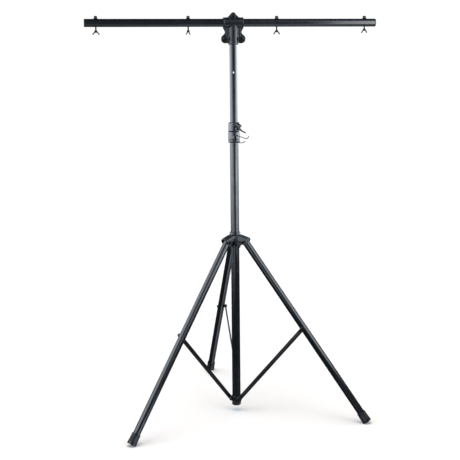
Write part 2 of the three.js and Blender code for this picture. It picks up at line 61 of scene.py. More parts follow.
HUB_Z, BORE_R, SLEEVE_R, IN, OUT = (721.0, 771.0), 19.85, 23.4, 16.9, 19.2
KNOB_AZ, KNOB_Z = 283.0, 736.0
THETA = rad(LEG_ANGLE)


def T(x=0.0, y=0.0, z=0.0):
    return Matrix.Translation((x, y, z))


def R(degrees, axis):
    return Matrix.Rotation(rad(degrees), 4, axis)


def leg_frame(az):
    return R(az, "Z") @ T(PIVOT_R, 0, PIVOT_Z) @ R(-LEG_ANGLE, "Y")


HEAD = T(0, 0, BAR_Z)
BAR = T(BAR_SHIFT, 0, BAR_Z)
EAR = R(EAR_AZ, "Z")

# --------------------------------------------------------------- camera, first
cam_data = bpy.data.cameras.new("camera")
cam = bpy.data.objects.new("camera", cam_data)
scene.collection.objects.link(cam)
cam_data.lens = 69.868
cam_data.sensor_width = 36.0
cam_data.clip_start, cam_data.clip_end = 0.05, 100.0
right = Vector((0.9905837, -0.1365455, -0.0099599))
up = Vector((0.0321996, 0.1616507, 0.9863226))
back = Vector((-0.1330679, -0.9773558, 0.1645253))
right.normalize()
back = right.cross(up).normalized()
up = back.cross(right).normalized()
turn = Matrix((right, up, back)).transposed().to_4x4()
cam.matrix_world = Matrix.Translation((-0.521834, -3.677312, 1.390638)) @ turn
scene.camera = cam


# ------------------------------------------------------------- mesh functions
def place(mesh, matrix):
    v, f = mesh
    m = np.array(matrix, float)
    return v @ m[:3, :3].T + m[:3, 3], f


def join(*meshes):
    vs, fs, n = [], [], 0
    for v, f in meshes:
        vs.append(v)
        fs += [[i + n for i in face] for face in f]
        n += len(v)
    return np.concatenate(vs), fs


def corners(points, default=0.0, steps=4):
    """A polyline [(a, b) or (a, b, radius)] with its inner corners rounded."""
    out = []
    n = len(points)
    for i, p in enumerate(points):
        q = np.array(p[:2], float)
        r = p[2] if len(p) > 2 else default
        if i in (0, n - 1) or r <= 0:
            out.append(q)
            continue
        a = np.array(points[i - 1][:2], float) - q
        b = np.array(points[i + 1][:2], float) - q
        la, lb = np.linalg.norm(a), np.linalg.norm(b)
        a, b = a / la, b / lb
        half = math.acos(max(-1.0, min(1.0, float(a @ b)))) / 2
        if abs(half - math.pi / 2) < 0.02:
            out.append(q)
            continue
        t = min(r / math.tan(half), 0.48 * la, 0.48 * lb)
        r = t * math.tan(half)
        mid = (a + b) / np.linalg.norm(a + b)
        c = q + mid * (r / math.sin(half))
        s, e = q + a * t - c, q + b * t - c
        a0, a1 = math.atan2(s[1], s[0]), math.atan2(e[1], e[0])
        d = (a1 - a0 + math.pi) % (2 * math.pi) - math.pi
        for k in range(steps + 1):
            w = a0 + d * k / steps
            out.append(c + r * np.array((math.cos(w), math.sin(w))))
    return out


def rings(rows, seg, closed=False):
    """Faces between rings about Z. A row is (radius, height), either a number
    or an array over the seg directions. A closed set joins its last ring to
    its first; otherwise end rings of radius 0 become single points."""
    ang = np.arange(seg) * 2 * math.pi / seg
    ca, sa = np.cos(ang), np.sin(ang)
    verts, index, n = [], [], 0
    for r, z in rows:
        if np.isscalar(r) and abs(r) < 1e-9:
            verts.append(np.array([[0.0, 0.0, float(np.mean(z))]]))
            index.append([n] * seg)
            n += 1
            continue
        rr = np.broadcast_to(np.asarray(r, float), seg)
        zz = np.broadcast_to(np.asarray(z, float), seg)
        verts.append(np.stack([rr * ca, rr * sa, zz], 1))
        index.append(list(range(n, n + seg)))
        n += seg
    faces = []
    pairs = list(zip(index[:-1], index[1:]))
    if closed:
        pairs.append((index[-1], index[0]))
    for a, b in pairs:
        for i in range(seg):
            j = (i + 1) % seg
            face = [a[i], a[j], b[j], b[i]]
            face = [face[k] for k in range(4) if face[k] != face[k - 1]]
            if len(face) > 2:
                faces.append(face)
    return np.concatenate(verts), faces


def lathe(points, seg=64, radius=0.0, steps=4, closed=False):
    """A turned solid. Points run up its outside, or anticlockwise if closed."""
    if closed:
        pts = list(points)
        pts = corners([pts[-1]] + pts + [pts[0]], radius, steps)[1:-1]
    else:
        pts = corners(points, radius, steps)
    return rings([(max(0.0, float(r)), float(z)) for r, z in pts], seg, closed)


def tube(r_out, wall, z0, z1, seg=80, cuts=()):
    """A hollow tube along Z with rounded ends, and rings beside each cut."""
    e = 0.45
    zs = sorted({z for c in cuts for z in (c - 9.0, c + 9.0)})
    zs = [z for z in zs if z0 + 2 < z < z1 - 2]
    r_in = r_out - wall
    rows = [(r_in, z0 + e), (r_in + e * 0.3, z0 + e * 0.3), (r_in + e, z0),
            (r_out - e, z0), (r_out - e * 0.3, z0 + e * 0.3), (r_out, z0 + e)]
    rows += [(r_out, z) for z in zs]
    rows += [(r_out, z1 - e), (r_out - e * 0.3, z1 - e * 0.3), (r_out - e, z1),
             (r_in + e, z1), (r_in + e * 0.3, z1 - e * 0.3), (r_in, z1 - e)]
    rows += [(r_in, z) for z in reversed(zs)]
    return rings(rows, seg, closed=True)


def hex_radius(flats, seg, turn=0.0):
    a = np.arange(seg) * 2 * math.pi / seg + rad(turn)
    return flats / 2 / np.cos((a + math.pi / 6) % (math.pi / 3) - math.pi / 6)


def hex_nut(flats, z0, z1, hole, seg=48, top=True, bottom=True):
    """Hexagonal nut about Z with chamfered corners."""
    r = hex_radius(flats, seg)
    c = flats / 2 * 0.955
    drop = (r - c) * 0.42
    lo = (c, z0) if bottom else (r, z0)
    rows = [(hole, z0 + 0.5), (hole + 0.5, z0), lo]
    rows += [(r, z0 + drop if bottom else z0 + 0.01), (r, z1 - drop if top else z1 - 0.01)]
    rows += [(c, z1) if top else (r, z1), (hole + 0.5, z1), (hole, z1 - 0.5)]
    return rings(rows, seg, closed=True)


def hex_head(flats, z0, z1, seg=48):
    """Solid hexagonal head about Z, chamfered on top and dished a little."""
    r = hex_radius(flats, seg)
    c = flats / 2 * 0.955
    return rings([(0, z0), (r * 0.98, z0), (r, z0 + 0.15), (r, z1 - (r - c) * 0.42),
                  (c, z1), (c - 0.6, z1), (c - 1.4, z1 - 0.35), (0, z1 - 0.35)], seg)


def shank(r, z0, z1, thread_to, pitch=1.0, seg=18):
    """A screw from z0 (its tip) up to z1, threaded from its tip to thread_to."""
    ang = np.arange(seg) * 2 * math.pi / seg
    rows = [(0, z0), (r - 0.9, z0), (r - 0.45, z0 + 0.45)]
    z = z0 + 0.5
    step = pitch / 4
    while z < thread_to:
        phase = (z / pitch - ang / (2 * math.pi)) % 1.0
        depth = 0.42 * np.abs(phase * 2 - 1)
        rows.append((r - depth, z))
        z += step
    rows += [(r - 0.05, thread_to + 0.3), (r - 0.05, z1), (0, z1)]
    return rings(rows, seg)


def pan_head(r, height, socket=3.0, seg=48):
    """Button head with a hexagonal socket; its seat is at 0, top at height."""
    s = hex_radius(socket, seg)
    prof = [(0, 0.0), (r - 0.5, 0.0), (r, 0.4)]
    n = 7
    base = height * 0.34
    for i in range(n + 1):
        a = (i / n) * math.pi / 2 * 0.86
        prof.append((r * math.cos(a) ** 0.8 * 0.999, base + (height - base) * math.sin(a)))
    top = prof[-1][1]
    rows = list(prof) + [(s * 1.16, top + 0.02), (s, top - 0.35), (s * 0.99, top - height * 0.5),
                         (0, top - height * 0.5 - 0.3)]
    return rings(rows, seg)


def bolt_pan(r_shank, r_head, h_head, length, thread, socket=3.0):
    """Head upwards; the seat under the head is at 0."""
    return join(pan_head(r_head, h_head, socket), shank(r_shank, -length, 0.2, -length + thread))


def washer(r0, r1, z0, z1, seg=48):
    e = min(0.3, (z1 - z0) / 3)
    return rings([(r0, z0 + e), (r0 + e, z0), (r1 - e, z0), (r1, z0 + e),
                  (r1, z1 - e), (r1 - e, z1), (r0 + e, z1), (r0, z1 - e)], seg, closed=True)


def sweep(points, radius, seg=14, cap=4):
    """A round wire through the points, with domed ends."""
    p = np.array(points, float)
    t = np.gradient(p, axis=0)
    t /= np.linalg.norm(t, axis=1)[:, None]
    n = np.cross(t[0], [0, 1, 0.1])
    n /= np.linalg.norm(n)
    rows, cents = [], []
    frames = []
    for i in range(len(p)):
        n = n - t[i] * (n @ t[i])
        n /= np.linalg.norm(n)
        frames.append((n.copy(), np.cross(t[i], n)))
    order = []
    for k in range(cap, 0, -1):
        a = k / cap * math.pi / 2 * 0.97
        order.append((0, p[0] - t[0] * radius * math.sin(a), radius * math.cos(a)))
    order += [(i, p[i], radius) for i in range(len(p))]
    for k in range(1, cap + 1):
        a = k / cap * math.pi / 2 * 0.97
        order.append((len(p) - 1, p[-1] + t[-1] * radius * math.sin(a), radius * math.cos(a)))
    verts = []
    for i, c, r in order:
        u, v = frames[i]
        for k in range(seg):
            a = 2 * math.pi * k / seg
            verts.append(c + r * (math.cos(a) * u + math.sin(a) * v))
    faces = []
    m = len(order)
    for i in range(m - 1):
        for k in range(seg):
            j = (k + 1) % seg
            faces.append([i * seg + k, i * seg + j, (i + 1) * seg + j, (i + 1) * seg + k])
    verts.append(order[0][1])
    verts.append(order[-1][1])
    a, b = m * seg, m * seg + 1
    for k in range(seg):
        j = (k + 1) % seg
        faces.append([a, j, k])
        faces.append([b, (m - 1) * seg + k, (m - 1) * seg + j])
    return np.array(verts), faces


def catmull(points, per=10):
    """Centripetal Catmull-Rom through the points."""
    p = [np.array(q, float) for q in points]
    p = [2 * p[0] - p[1]] + p + [2 * p[-1] - p[-2]]
    out = []
    for i in range(1, len(p) - 2):
        a, b, c, d = p[i - 1], p[i], p[i + 1], p[i + 2]
        t0 = 0.0
        t1 = t0 + np.linalg.norm(b - a) ** 0.5
        t2 = t1 + np.linalg.norm(c - b) ** 0.5
        t3 = t2 + np.linalg.norm(d - c) ** 0.5
        for k in range(per):
            t = t1 + (t2 - t1) * k / per
            a1 = (t1 - t) / (t1 - t0) * a + (t - t0) / (t1 - t0) * b
            a2 = (t2 - t) / (t2 - t1) * b + (t - t1) / (t2 - t1) * c
            a3 = (t3 - t) / (t3 - t2) * c + (t - t2) / (t3 - t2) * d
            b1 = (t2 - t) / (t2 - t0) * a1 + (t - t0) / (t2 - t0) * a2
            b2 = (t3 - t) / (t3 - t1) * a2 + (t - t1) / (t3 - t1) * a3
            out.append((t2 - t) / (t2 - t1) * b1 + (t - t1) / (t2 - t1) * b2)
    out.append(p[-2])
    return out


def outline(commands, n=10):
    """Points of a closed 2D outline. M and L are points, Q and C are curves,
    and A is an arc (centre, radius, two angles in radians)."""
    pts = []
    for c in commands:
        k, v = c[0], c[1:]
        if k in "ML":
            pts.append(tuple(v))
        elif k == "Q":
            p0 = pts[-1]
            for i in range(1, n + 1):
                t = i / n
                pts.append(tuple((1 - t) ** 2 * p0[j] + 2 * t * (1 - t) * v[j] + t * t * v[2 + j]
                                 for j in (0, 1)))
        elif k == "C":
            p0 = pts[-1]
            for i in range(1, n + 1):
                t = i / n
                pts.append(tuple((1 - t) ** 3 * p0[j] + 3 * t * (1 - t) ** 2 * v[j]
                                 + 3 * t * t * (1 - t) * v[2 + j] + t ** 3 * v[4 + j] for j in (0, 1)))
        elif k == "A":
            for i in range(n + 1):
                a = v[3] + (v[4] - v[3]) * i / n
                pts.append((v[0] + v[2] * math.cos(a), v[1] + v[2] * math.sin(a)))
    out = [pts[0]]
    for p in pts[1:]:
        if math.dist(p, out[-1]) > 1e-3:
            out.append(p)
    if math.dist(out[0], out[-1]) < 1e-3:
        out.pop()
    return out


# Signed distances for cast, pressed and moulded shapes. They take arrays that
# broadcast together, so a flat outline costs no more than its own plane.
def sd_poly(x, z, pts):
    near, inside = None, None
    n = len(pts)
    for i in range(n):
        (ax, az), (bx, bz) = pts[i], pts[(i + 1) % n]
        ex, ez = bx - ax, bz - az
        wx, wz = x - ax, z - az
        t = np.clip((wx * ex + wz * ez) / (ex * ex + ez * ez), 0, 1)
        q = (wx - ex * t) ** 2 + (wz - ez * t) ** 2
        near = q if near is None else np.minimum(near, q)
        if az != bz:
            c = ((az > z) != (bz > z)) & (x < ex * (z - az) / ez + ax)
            inside = c if inside is None else inside ^ c
    s = np.sqrt(near)
    return np.where(inside, -s, s)


def both(a, b, r=0.0):
    """Intersection with a rounded edge."""
    if r <= 0:
        return np.maximum(a, b)
    return np.minimum(-r, np.maximum(a, b)) + np.hypot(np.maximum(a + r, 0), np.maximum(b + r, 0))


def union(a, b, r=0.0):
    """Union with a fillet."""
    if r <= 0:
        return np.minimum(a, b)
    return np.maximum(r, np.minimum(a, b)) - np.hypot(np.maximum(r - a, 0), np.maximum(r - b, 0))


def less(a, b, r=0.0):
    return both(a, -b, r)


def between(v, lo, hi):
    return np.maximum(lo - v, v - hi)


def spin(x, y, degrees):
    """Coordinates in a frame that is turned about Z by this much."""
    c, s = math.cos(rad(degrees)), math.sin(rad(degrees))
    return x * c + y * s, -x * s + y * c


def nets(f, lo, hi, h, relax=2):
    """A closed quad mesh of the surface where f is 0, on a grid of step h."""
    lo = np.array(lo, float) - 1.7 * h
    n = [int(math.ceil((hi[k] + 1.7 * h - lo[k]) / h)) + 1 for k in range(3)]
    ax = [lo[k] + h * np.arange(n[k]) for k in range(3)]
    field = f(ax[0][:, None, None], ax[1][None, :, None], ax[2][None, None, :])
    field = np.array(np.broadcast_to(field, n), np.float32)
    field[np.abs(field) < 1e-6] = 1e-6
    inside = field < 0
    cs = [(i, j, k) for i in (0, 1) for j in (0, 1) for k in (0, 1)]
    some = np.zeros([m - 1 for m in n], bool)
    every = np.ones([m - 1 for m in n], bool)
    for c in cs:
        part = inside[tuple(slice(c[k], n[k] - 1 + c[k]) for k in range(3))]
        some |= part
        every &= part
    active = some & ~every
    cells = np.argwhere(active)
    index = np.full(active.shape, -1, np.int64)
    index[active] = np.arange(len(cells))
    val = {c: field[cells[:, 0] + c[0], cells[:, 1] + c[1], cells[:, 2] + c[2]] for c in cs}
    acc, cnt = np.zeros((len(cells), 3)), np.zeros(len(cells))
    for a in cs:
        for k in range(3):
            if a[k]:
                continue
            b = tuple(1 if j == k else a[j] for j in range(3))
            fa, fb = val[a], val[b]
            m = (fa < 0) != (fb < 0)
            t = np.where(m, fa / np.where(m, fa - fb, 1), 0)
            p = np.tile(np.array(a, float), (len(cells), 1))
            p[:, k] += t
            acc += p * m[:, None]
            cnt += m
    v = lo + h * (cells + acc / cnt[:, None])
    quads = []
    for k in range(3):
        u, w = (k + 1) % 3, (k + 2) % 3
        s0, s1 = [None] * 3, [None] * 3
        s0[k], s0[u], s0[w] = slice(0, n[k] - 1), slice(1, n[u] - 1), slice(1, n[w] - 1)
        s1[k], s1[u], s1[w] = slice(1, n[k]), s0[u], s0[w]
        a, b = inside[tuple(s0)], inside[tuple(s1)]
        m = a != b
        g = np.argwhere(m)
        g[:, u] += 1
        g[:, w] += 1

        def cell(du, dw):
            q = g.copy()
            q[:, u] += du
            q[:, w] += dw
            return index[q[:, 0], q[:, 1], q[:, 2]]

        q = np.stack([cell(-1, -1), cell(0, -1), cell(0, 0), cell(-1, 0)], 1)
        first = a[m]
        q[~first] = q[~first][:, ::-1]
        quads.append(q)
    quads = np.concatenate(quads)

    def settle(v):
        e = 0.08 * h
        for _ in range(2):
            g = np.stack([
                f(v[:, 0] + e, v[:, 1], v[:, 2]) - f(v[:, 0] - e, v[:, 1], v[:, 2]),
                f(v[:, 0], v[:, 1] + e, v[:, 2]) - f(v[:, 0], v[:, 1] - e, v[:, 2]),
                f(v[:, 0], v[:, 1], v[:, 2] + e) - f(v[:, 0], v[:, 1], v[:, 2] - e)], 1) / (2 * e)
            d = f(v[:, 0], v[:, 1], v[:, 2]) / np.maximum((g * g).sum(1), 0.2)
            v = v - g * np.clip(d, -0.7 * h, 0.7 * h)[:, None]
        return v

    v = settle(v)
    pairs = np.concatenate([quads[:, [0, 1]], quads[:, [1, 2]], quads[:, [2, 3]], quads[:, [3, 0]]])
    for _ in range(relax):
        total, count = np.zeros_like(v), np.zeros(len(v))
        for k in range(3):
            total[:, k] = np.bincount(pairs[:, 0], v[pairs[:, 1], k], len(v)) + np.bincount(
                pairs[:, 1], v[pairs[:, 0], k], len(v))
        count = np.bincount(pairs[:, 0], minlength=len(v)) + np.bincount(pairs[:, 1], minlength=len(v))
        v = settle(0.5 * v + 0.5 * total / count[:, None])
    return v, quads.tolist()


def slab(pts, y0, y1, bevel, holes=(), bead=None, steps=3):
    """A plate in the X-Z plane between y0 and y1 with rounded edges. Holes are
    outlines too. A bead (outline centres a, b, half width, height) is pressed
    out of the y0 face and leaves a groove in the y1 face."""

    def inset(loop, d):
        p = np.array(loop, float)
        area = 0.5 * np.sum(p[:, 0] * np.roll(p[:, 1], -1) - np.roll(p[:, 0], -1) * p[:, 1])
        t = np.roll(p, -1, 0) - np.roll(p, 1, 0)
        t /= np.linalg.norm(t, axis=1)[:, None]
        nrm = np.stack([-t[:, 1], t[:, 0]], 1) * (1 if area > 0 else -1)
        return p + nrm * d

    verts, faces = [], []

    def add(points2, y):
        start = len(verts)
        verts.extend((p[0], y, p[1]) for p in points2)
        return list(range(start, len(verts)))

    loops = [(pts, 1)] + [(h, -1) for h in holes]
    ends = {y0: [], y1: []}
    for loop, side in loops:
        area = 0.5 * sum(loop[i - 1][0] * loop[i][1] - loop[i][0] * loop[i - 1][1] for i in range(len(loop)))
        loop = loop if (area > 0) == (side > 0) else loop[::-1]
        rows = []
        for k in range(steps + 1):
            a = k / steps * math.pi / 2
            d = bevel * (1 - math.sin(a)) * (1 if side > 0 else -1)
            rows.append(add(inset(loop, d), y0 + bevel * (1 - math.cos(a))))
        for k in range(steps + 1):
            a = (1 - k / steps) * math.pi / 2
            d = bevel * (1 - math.sin(a)) * (1 if side > 0 else -1)
            rows.append(add(inset(loop, d), y1 - bevel * (1 - math.cos(a))))
        for a, b in zip(rows[:-1], rows[1:]):
            for i in range(len(a)):
                j = (i + 1) % len(a)
                faces.append([a[j], a[i], b[i], b[j]])
        ends[y0].append(rows[0])
        ends[y1].append(rows[-1])
    if bead:
        za, zb, hw, height = bead
        for y, sign in ((y0, -1), (y1, -1)):
            rows = []
            for k in range(6):
                w = k / 5
                r = hw * (1 - w)
                lift = height * math.sin(w * math.pi / 2) ** 2
                if k == 5:
                    rows.append(add([(0, za), (0, zb)], y + sign * height))
                    continue
                ring = [(r * math.cos(a), za + r * math.sin(a)) for a in
                        (math.pi + math.pi * i / 12 for i in range(13))]
                ring += [(r * math.cos(a), zb + r * math.sin(a)) for a in
                         (math.pi * i / 12 for i in range(13))]
                rows.append(add(ring, y + sign * lift))
            for a, b in zip(rows[:-2], rows[1:-1]):
                for i in range(26):
                    j = (i + 1) % 26
                    faces.append([a[i], a[j], b[j], b[i]] if y == y0 else [a[j], a[i], b[i], b[j]])
            a, (p, q) = rows[-2], rows[-1]
            for i in range(26):
                j = (i + 1) % 26
                s, e = (p if i <= 12 else q), (p if j <= 12 else q)
                face = [a[i], a[j], e, s] if s != e else [a[i], a[j], s]
                faces.append(face if y == y0 else face[::-1])
            ends[y].append(rows[0])
    for y, sets in ends.items():
        flat, edges, back_to = [], [], []
        for loop in sets:
            start = len(flat)
            flat += [Vector((verts[i][0], verts[i][2])) for i in loop]
            back_to += loop
            edges += [(start + i, start + (i + 1) % len(loop)) for i in range(len(loop))]
        out = delaunay_2d_cdt(flat, edges, [], 2, 1e-6)
        origin = out[3]
        for tri in out[2]:
            ids = [back_to[origin[i][0]] for i in tri]
            p, q, r = (np.array((verts[i][0], verts[i][2])) for i in ids)
            ccw = (q - p)[0] * (r - p)[1] - (q - p)[1] * (r - p)[0] > 0
            # seen from -Y, anticlockwise in (x, z) faces -Y
            faces.append(ids if ccw == (y == y0) else ids[::-1])
    return np.array(verts, float), faces


# ----------------------------------------------------------------- materials
def nodes_of(name):
    m = bpy.data.materials.new(name)
    m.use_nodes = True
    nt = m.node_tree
    nt.nodes.clear()
    out = nt.nodes.new("ShaderNodeOutputMaterial")
    bsdf = nt.nodes.new("ShaderNodeBsdfPrincipled")
    nt.links.new(bsdf.outputs["BSDF"], out.inputs["Surface"])
    tc = nt.nodes.new("ShaderNodeTexCoord")
    return m, nt, bsdf, tc.outputs["Object"]


class Nodes:
    def __init__(self, nt, coord):
        self.nt, self.coord = nt, coord

    def link(self, a, b):
        self.nt.links.new(a, b)

    def mapping(self, scale, offset=(0, 0, 0)):
        n = self.nt.nodes.new("ShaderNodeMapping")
        n.inputs["Scale"].default_value = scale
        n.inputs["Location"].default_value = offset
        self.link(self.coord, n.inputs["Vector"])
        return n.outputs["Vector"]

    def noise(self, scale, detail=3.0, rough=0.5, vector=None, distortion=0.0):
        n = self.nt.nodes.new("ShaderNodeTexNoise")
        n.inputs["Scale"].default_value = scale
        n.inputs["Detail"].default_value = detail
        n.inputs["Roughness"].default_value = rough
        n.inputs["Distortion"].default_value = distortion
        self.link(vector or self.coord, n.inputs["Vector"])
        return n.outputs["Fac"]

    def voronoi(self, scale, vector=None, feature="F1"):
        n = self.nt.nodes.new("ShaderNodeTexVoronoi")
        n.feature = feature
        n.inputs["Scale"].default_value = scale
        self.link(vector or self.coord, n.inputs["Vector"])
        return n.outputs["Distance"]

    def remap(self, value, lo, hi, to_lo=0.0, to_hi=1.0):
        n = self.nt.nodes.new("ShaderNodeMapRange")
        n.clamp = True
        n.interpolation_type = "SMOOTHSTEP"
        n.inputs["From Min"].default_value = lo
        n.inputs["From Max"].default_value = hi
        n.inputs["To Min"].default_value = to_lo
        n.inputs["To Max"].default_value = to_hi
        self.link(value, n.inputs["Value"])
        return n.outputs["Result"]

    def math(self, op, a, b=None, c=None):
        n = self.nt.nodes.new("ShaderNodeMath")
        n.operation = op
        for i, v in enumerate((a, b, c)):
            if v is None:
                continue
            if isinstance(v, (int, float)):
                n.inputs[i].default_value = v
            else:
                self.link(v, n.inputs[i])
        return n.outputs[0]

    def mix(self, fac, a, b):
        n = self.nt.nodes.new("ShaderNodeMix")
        n.data_type = "RGBA"
        for socket, v in ((n.inputs[0], fac), (n.inputs[6], a), (n.inputs[7], b)):
            if isinstance(v, (int, float)):
                socket.default_value = v
            elif isinstance(v, tuple):
                socket.default_value = (*v, 1.0)
            else:
                self.link(v, socket)
        return n.outputs[2]

    def bump(self, height, strength, distance, normal=None):
        n = self.nt.nodes.new("ShaderNodeBump")
        n.inputs["Strength"].default_value = strength
        n.inputs["Distance"].default_value = distance
        self.link(height, n.inputs["Height"])
        if normal is not None:
            self.link(normal, n.inputs["Normal"])
        return n.outputs["Normal"]

    def edges(self, lo=0.515, hi=0.56):
        n = self.nt.nodes.new("ShaderNodeNewGeometry")
        return self.remap(n.outputs["Pointiness"], lo, hi)


def coat(name, base, tint, rough, ior=1.6, peel=0.16, cast=0.0, wear=0.0, along=None, seed=0.0,
         metallic=0.0, worn=(0.09, 0.095, 0.1), shine=0.0, coarse=900.0):
    """Baked paint over steel or a casting: orange peel, uneven gloss, fine
    scuffs, dust in a few specks, and edges rubbed a little lighter."""
    m, nt, b, coord = nodes_of(name)
    k = Nodes(nt, coord)
    shifted = k.mapping((1, 1, 1), (seed, seed * 0.7, seed * 1.3))
    k.coord = shifted
    fine = k.noise(coarse, 2.0, 0.5)
    ripple = k.noise(190.0, 3.0, 0.55)
    broad = k.noise(7.0, 4.0, 0.6)
    patches = k.noise(42.0, 5.0, 0.62, distortion=0.6)
    # scuffs run along the piece; the stretched grain is short across it
    stretch = {None: (1.0, 1.0, 0.16), "x": (0.03, 1.0, 1.0), "z": (1.0, 1.0, 0.03)}[along]
    lines = k.noise(1500.0, 1.0, 0.4, vector=k.mapping(stretch, (seed + 3.1, 1.7, 0.4)))
    scuff = k.math("MULTIPLY", k.remap(lines, 0.66, 0.76), k.remap(patches, 0.52, 0.7))
    specks = k.math("MULTIPLY", k.remap(k.voronoi(520.0), 0.16, 0.05), k.remap(patches, 0.56, 0.46))
    edge = k.math("MULTIPLY", k.edges(), k.remap(patches, 0.38, 0.62)) if wear else None
    colour = k.mix(k.remap(broad, 0.32, 0.68), base, tint)
    colour = k.mix(k.math("MULTIPLY", scuff, 0.22), colour, (0.075, 0.08, 0.085))
    colour = k.mix(k.math("MULTIPLY", specks, 0.3), colour, (0.11, 0.11, 0.105))
    if edge is not None:
        colour = k.mix(k.math("MULTIPLY", edge, wear), colour, worn)
    k.link(colour, b.inputs["Base Color"])
    gloss = k.remap(patches, 0.3, 0.7, rough - 0.035, rough + 0.05)
    gloss = k.math("ADD", gloss, k.math("MULTIPLY", scuff, 0.12))
    gloss = k.math("ADD", gloss, k.math("MULTIPLY", specks, 0.2))
    k.link(gloss, b.inputs["Roughness"])
    height = k.math("ADD", k.math("MULTIPLY", fine, 0.5), k.math("MULTIPLY", ripple, 0.8))
    normal = k.bump(height, peel, 0.00025)
    if cast:
        grit = k.math("ADD", k.noise(420.0, 4.0, 0.65), k.remap(k.voronoi(330.0), 0.0, 0.5, 0.0, 0.5))
        normal = k.bump(grit, cast, 0.0004, normal)
    k.link(normal, b.inputs["Normal"])
    b.inputs["IOR"].default_value = ior
    b.inputs["Metallic"].default_value = metallic
    b.inputs["Specular IOR Level"].default_value = 0.5 + shine
    return m


def moulded(name, base, tint, rough, grain=0.25, dust=0.0, seed=0.0, ior=1.5, pitch=650.0):
    """Moulded plastic or rubber: a fine leathery skin, flow marks and dust."""
    m, nt, b, coord = nodes_of(name)
    k = Nodes(nt, coord)
    k.coord = k.mapping((1, 1, 1), (seed, seed * 0.4, seed * 1.1))
    skin = k.voronoi(pitch, feature="SMOOTH_F1")
    fine = k.noise(1800.0, 2.0, 0.5)
    flow = k.noise(60.0, 4.0, 0.6, distortion=1.4)
    broad = k.noise(16.0, 3.0, 0.55)
    colour = k.mix(k.remap(broad, 0.3, 0.7), base, tint)
    dusty = k.math("MULTIPLY", k.remap(flow, 0.5, 0.78), dust)
    colour = k.mix(dusty, colour, (0.10, 0.097, 0.09))
    k.link(colour, b.inputs["Base Color"])
    gloss = k.math("ADD", k.remap(flow, 0.3, 0.7, rough - 0.05, rough + 0.06), k.math("MULTIPLY", dusty, 0.3))
    k.link(gloss, b.inputs["Roughness"])
    height = k.math("ADD", k.math("MULTIPLY", skin, 0.7), k.math("MULTIPLY", fine, 0.4))
    k.link(k.bump(height, grain, 0.0004), b.inputs["Normal"])
    b.inputs["IOR"].default_value = ior
    return m


BASE = (0.0012, 0.0018, 0.0037)
TINT = (0.0022, 0.0030, 0.0054)
FIX, FIX2 = (0.0015, 0.0018, 0.0026), (0.0030, 0.0034, 0.0046)
M = {
    "column": coat("black_coat_column", BASE, TINT, 0.18, ior=1.78, peel=0.05, along="z", seed=0.0),
    "mast": coat("black_coat_mast", BASE, TINT, 0.16, ior=1.78, peel=0.045, along="z", seed=5.0),
    "leg": coat("black_coat_leg", BASE, TINT, 0.18, ior=1.78, peel=0.05, along=None, seed=9.0),
    "bar": coat("black_coat_bar", BASE, TINT, 0.18, ior=1.75, peel=0.04, along="x", seed=14.0),
    "strut": coat("black_coat_strut", BASE, TINT, 0.3, ior=1.55, peel=0.1, along=None, seed=19.0, wear=0.2),
    "pressed": coat("black_coat_pressing", BASE, TINT, 0.2, ior=1.75, peel=0.07, wear=0.3, seed=24.0),
    "cast": coat("black_coat_casting", (0.0030, 0.0037, 0.0052), (0.0048, 0.0058, 0.0078), 0.3, ior=1.6,
                 peel=0.1, cast=0.07, wear=0.25, seed=31.0),
    "collar": coat("black_coat_collar", (0.0040, 0.0048, 0.0062), (0.0062, 0.0072, 0.0092), 0.25, ior=1.95,
                   peel=0.08, cast=0.05, wear=0.3, seed=37.0),
    "ferrule": coat("blackened_ferrule", (0.0085, 0.0096, 0.0115), (0.014, 0.0155, 0.018), 0.26, ior=1.7,
                    metallic=0.3, peel=0.07, wear=0.4, seed=41.0),
    "bolt": coat("black_zinc_fastener", FIX, FIX2, 0.34, ior=1.3, peel=0.1, wear=0.25,
                 worn=(0.07, 0.073, 0.08), seed=47.0, coarse=2600.0),
    "wire": coat("black_zinc_wire", FIX, FIX2, 0.34, ior=1.33, peel=0.08, seed=53.0, coarse=2600.0),
    "plastic": moulded("moulded_black_plastic", (0.0030, 0.0033, 0.0040), (0.0050, 0.0054, 0.0063), 0.38,
                       grain=0.12, dust=0.08, seed=3.0),
    "lever": moulded("moulded_black_lever", (0.0032, 0.0036, 0.0045), (0.0052, 0.0057, 0.0068), 0.32,
                     grain=0.1, dust=0.05, seed=8.0),
    # near-black matt filler for the collar's slit: painted shade
    "slit_shade": moulded("painted_slit_shade", (0.0014, 0.0017, 0.0024), (0.0026, 0.0030, 0.0040), 0.6,
                    grain=0.2, dust=0.05, seed=17.0, ior=1.35),
    "rubber": moulded("foot_rubber", (0.0012, 0.0014, 0.0019), (0.0022, 0.0025, 0.0032), 0.3,
                      grain=0.12, dust=0.04, seed=12.0, ior=1.6, pitch=420.0),
}

# -------------------------------------------------------------------- pieces
made = []


def piece(name, mesh, body, nodes, mat, sharp=32.0):
    v, f = mesh
    v = np.asarray(v, float).copy()
    v[:, 2] -= DATUM
    me = bpy.data.meshes.new(name)
    me.from_pydata((v / 1000.0).tolist(), [], f)
    bm = bmesh.new()
    bm.from_mesh(me)
    bmesh.ops.remove_doubles(bm, verts=bm.verts, dist=2e-7)
    loose = [x for x in bm.verts if not x.link_faces]
    if loose:
        bmesh.ops.delete(bm, geom=loose, context="VERTS")
    bmesh.ops.recalc_face_normals(bm, faces=bm.faces)
    bm.to_mesh(me)
    bm.free()
    me.validate()
    me.shade_smooth()
    if sharp:
        me.set_sharp_from_angle(angle=rad(sharp))
    o = bpy.data.objects.new(name, me)
    scene.collection.objects.link(o)
    me.materials.append(M[mat])
    if isinstance(nodes, str):
        nodes = (nodes,)
    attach(o, body)
    if nodes:
        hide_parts(*nodes)
    made.append(o)
    return o


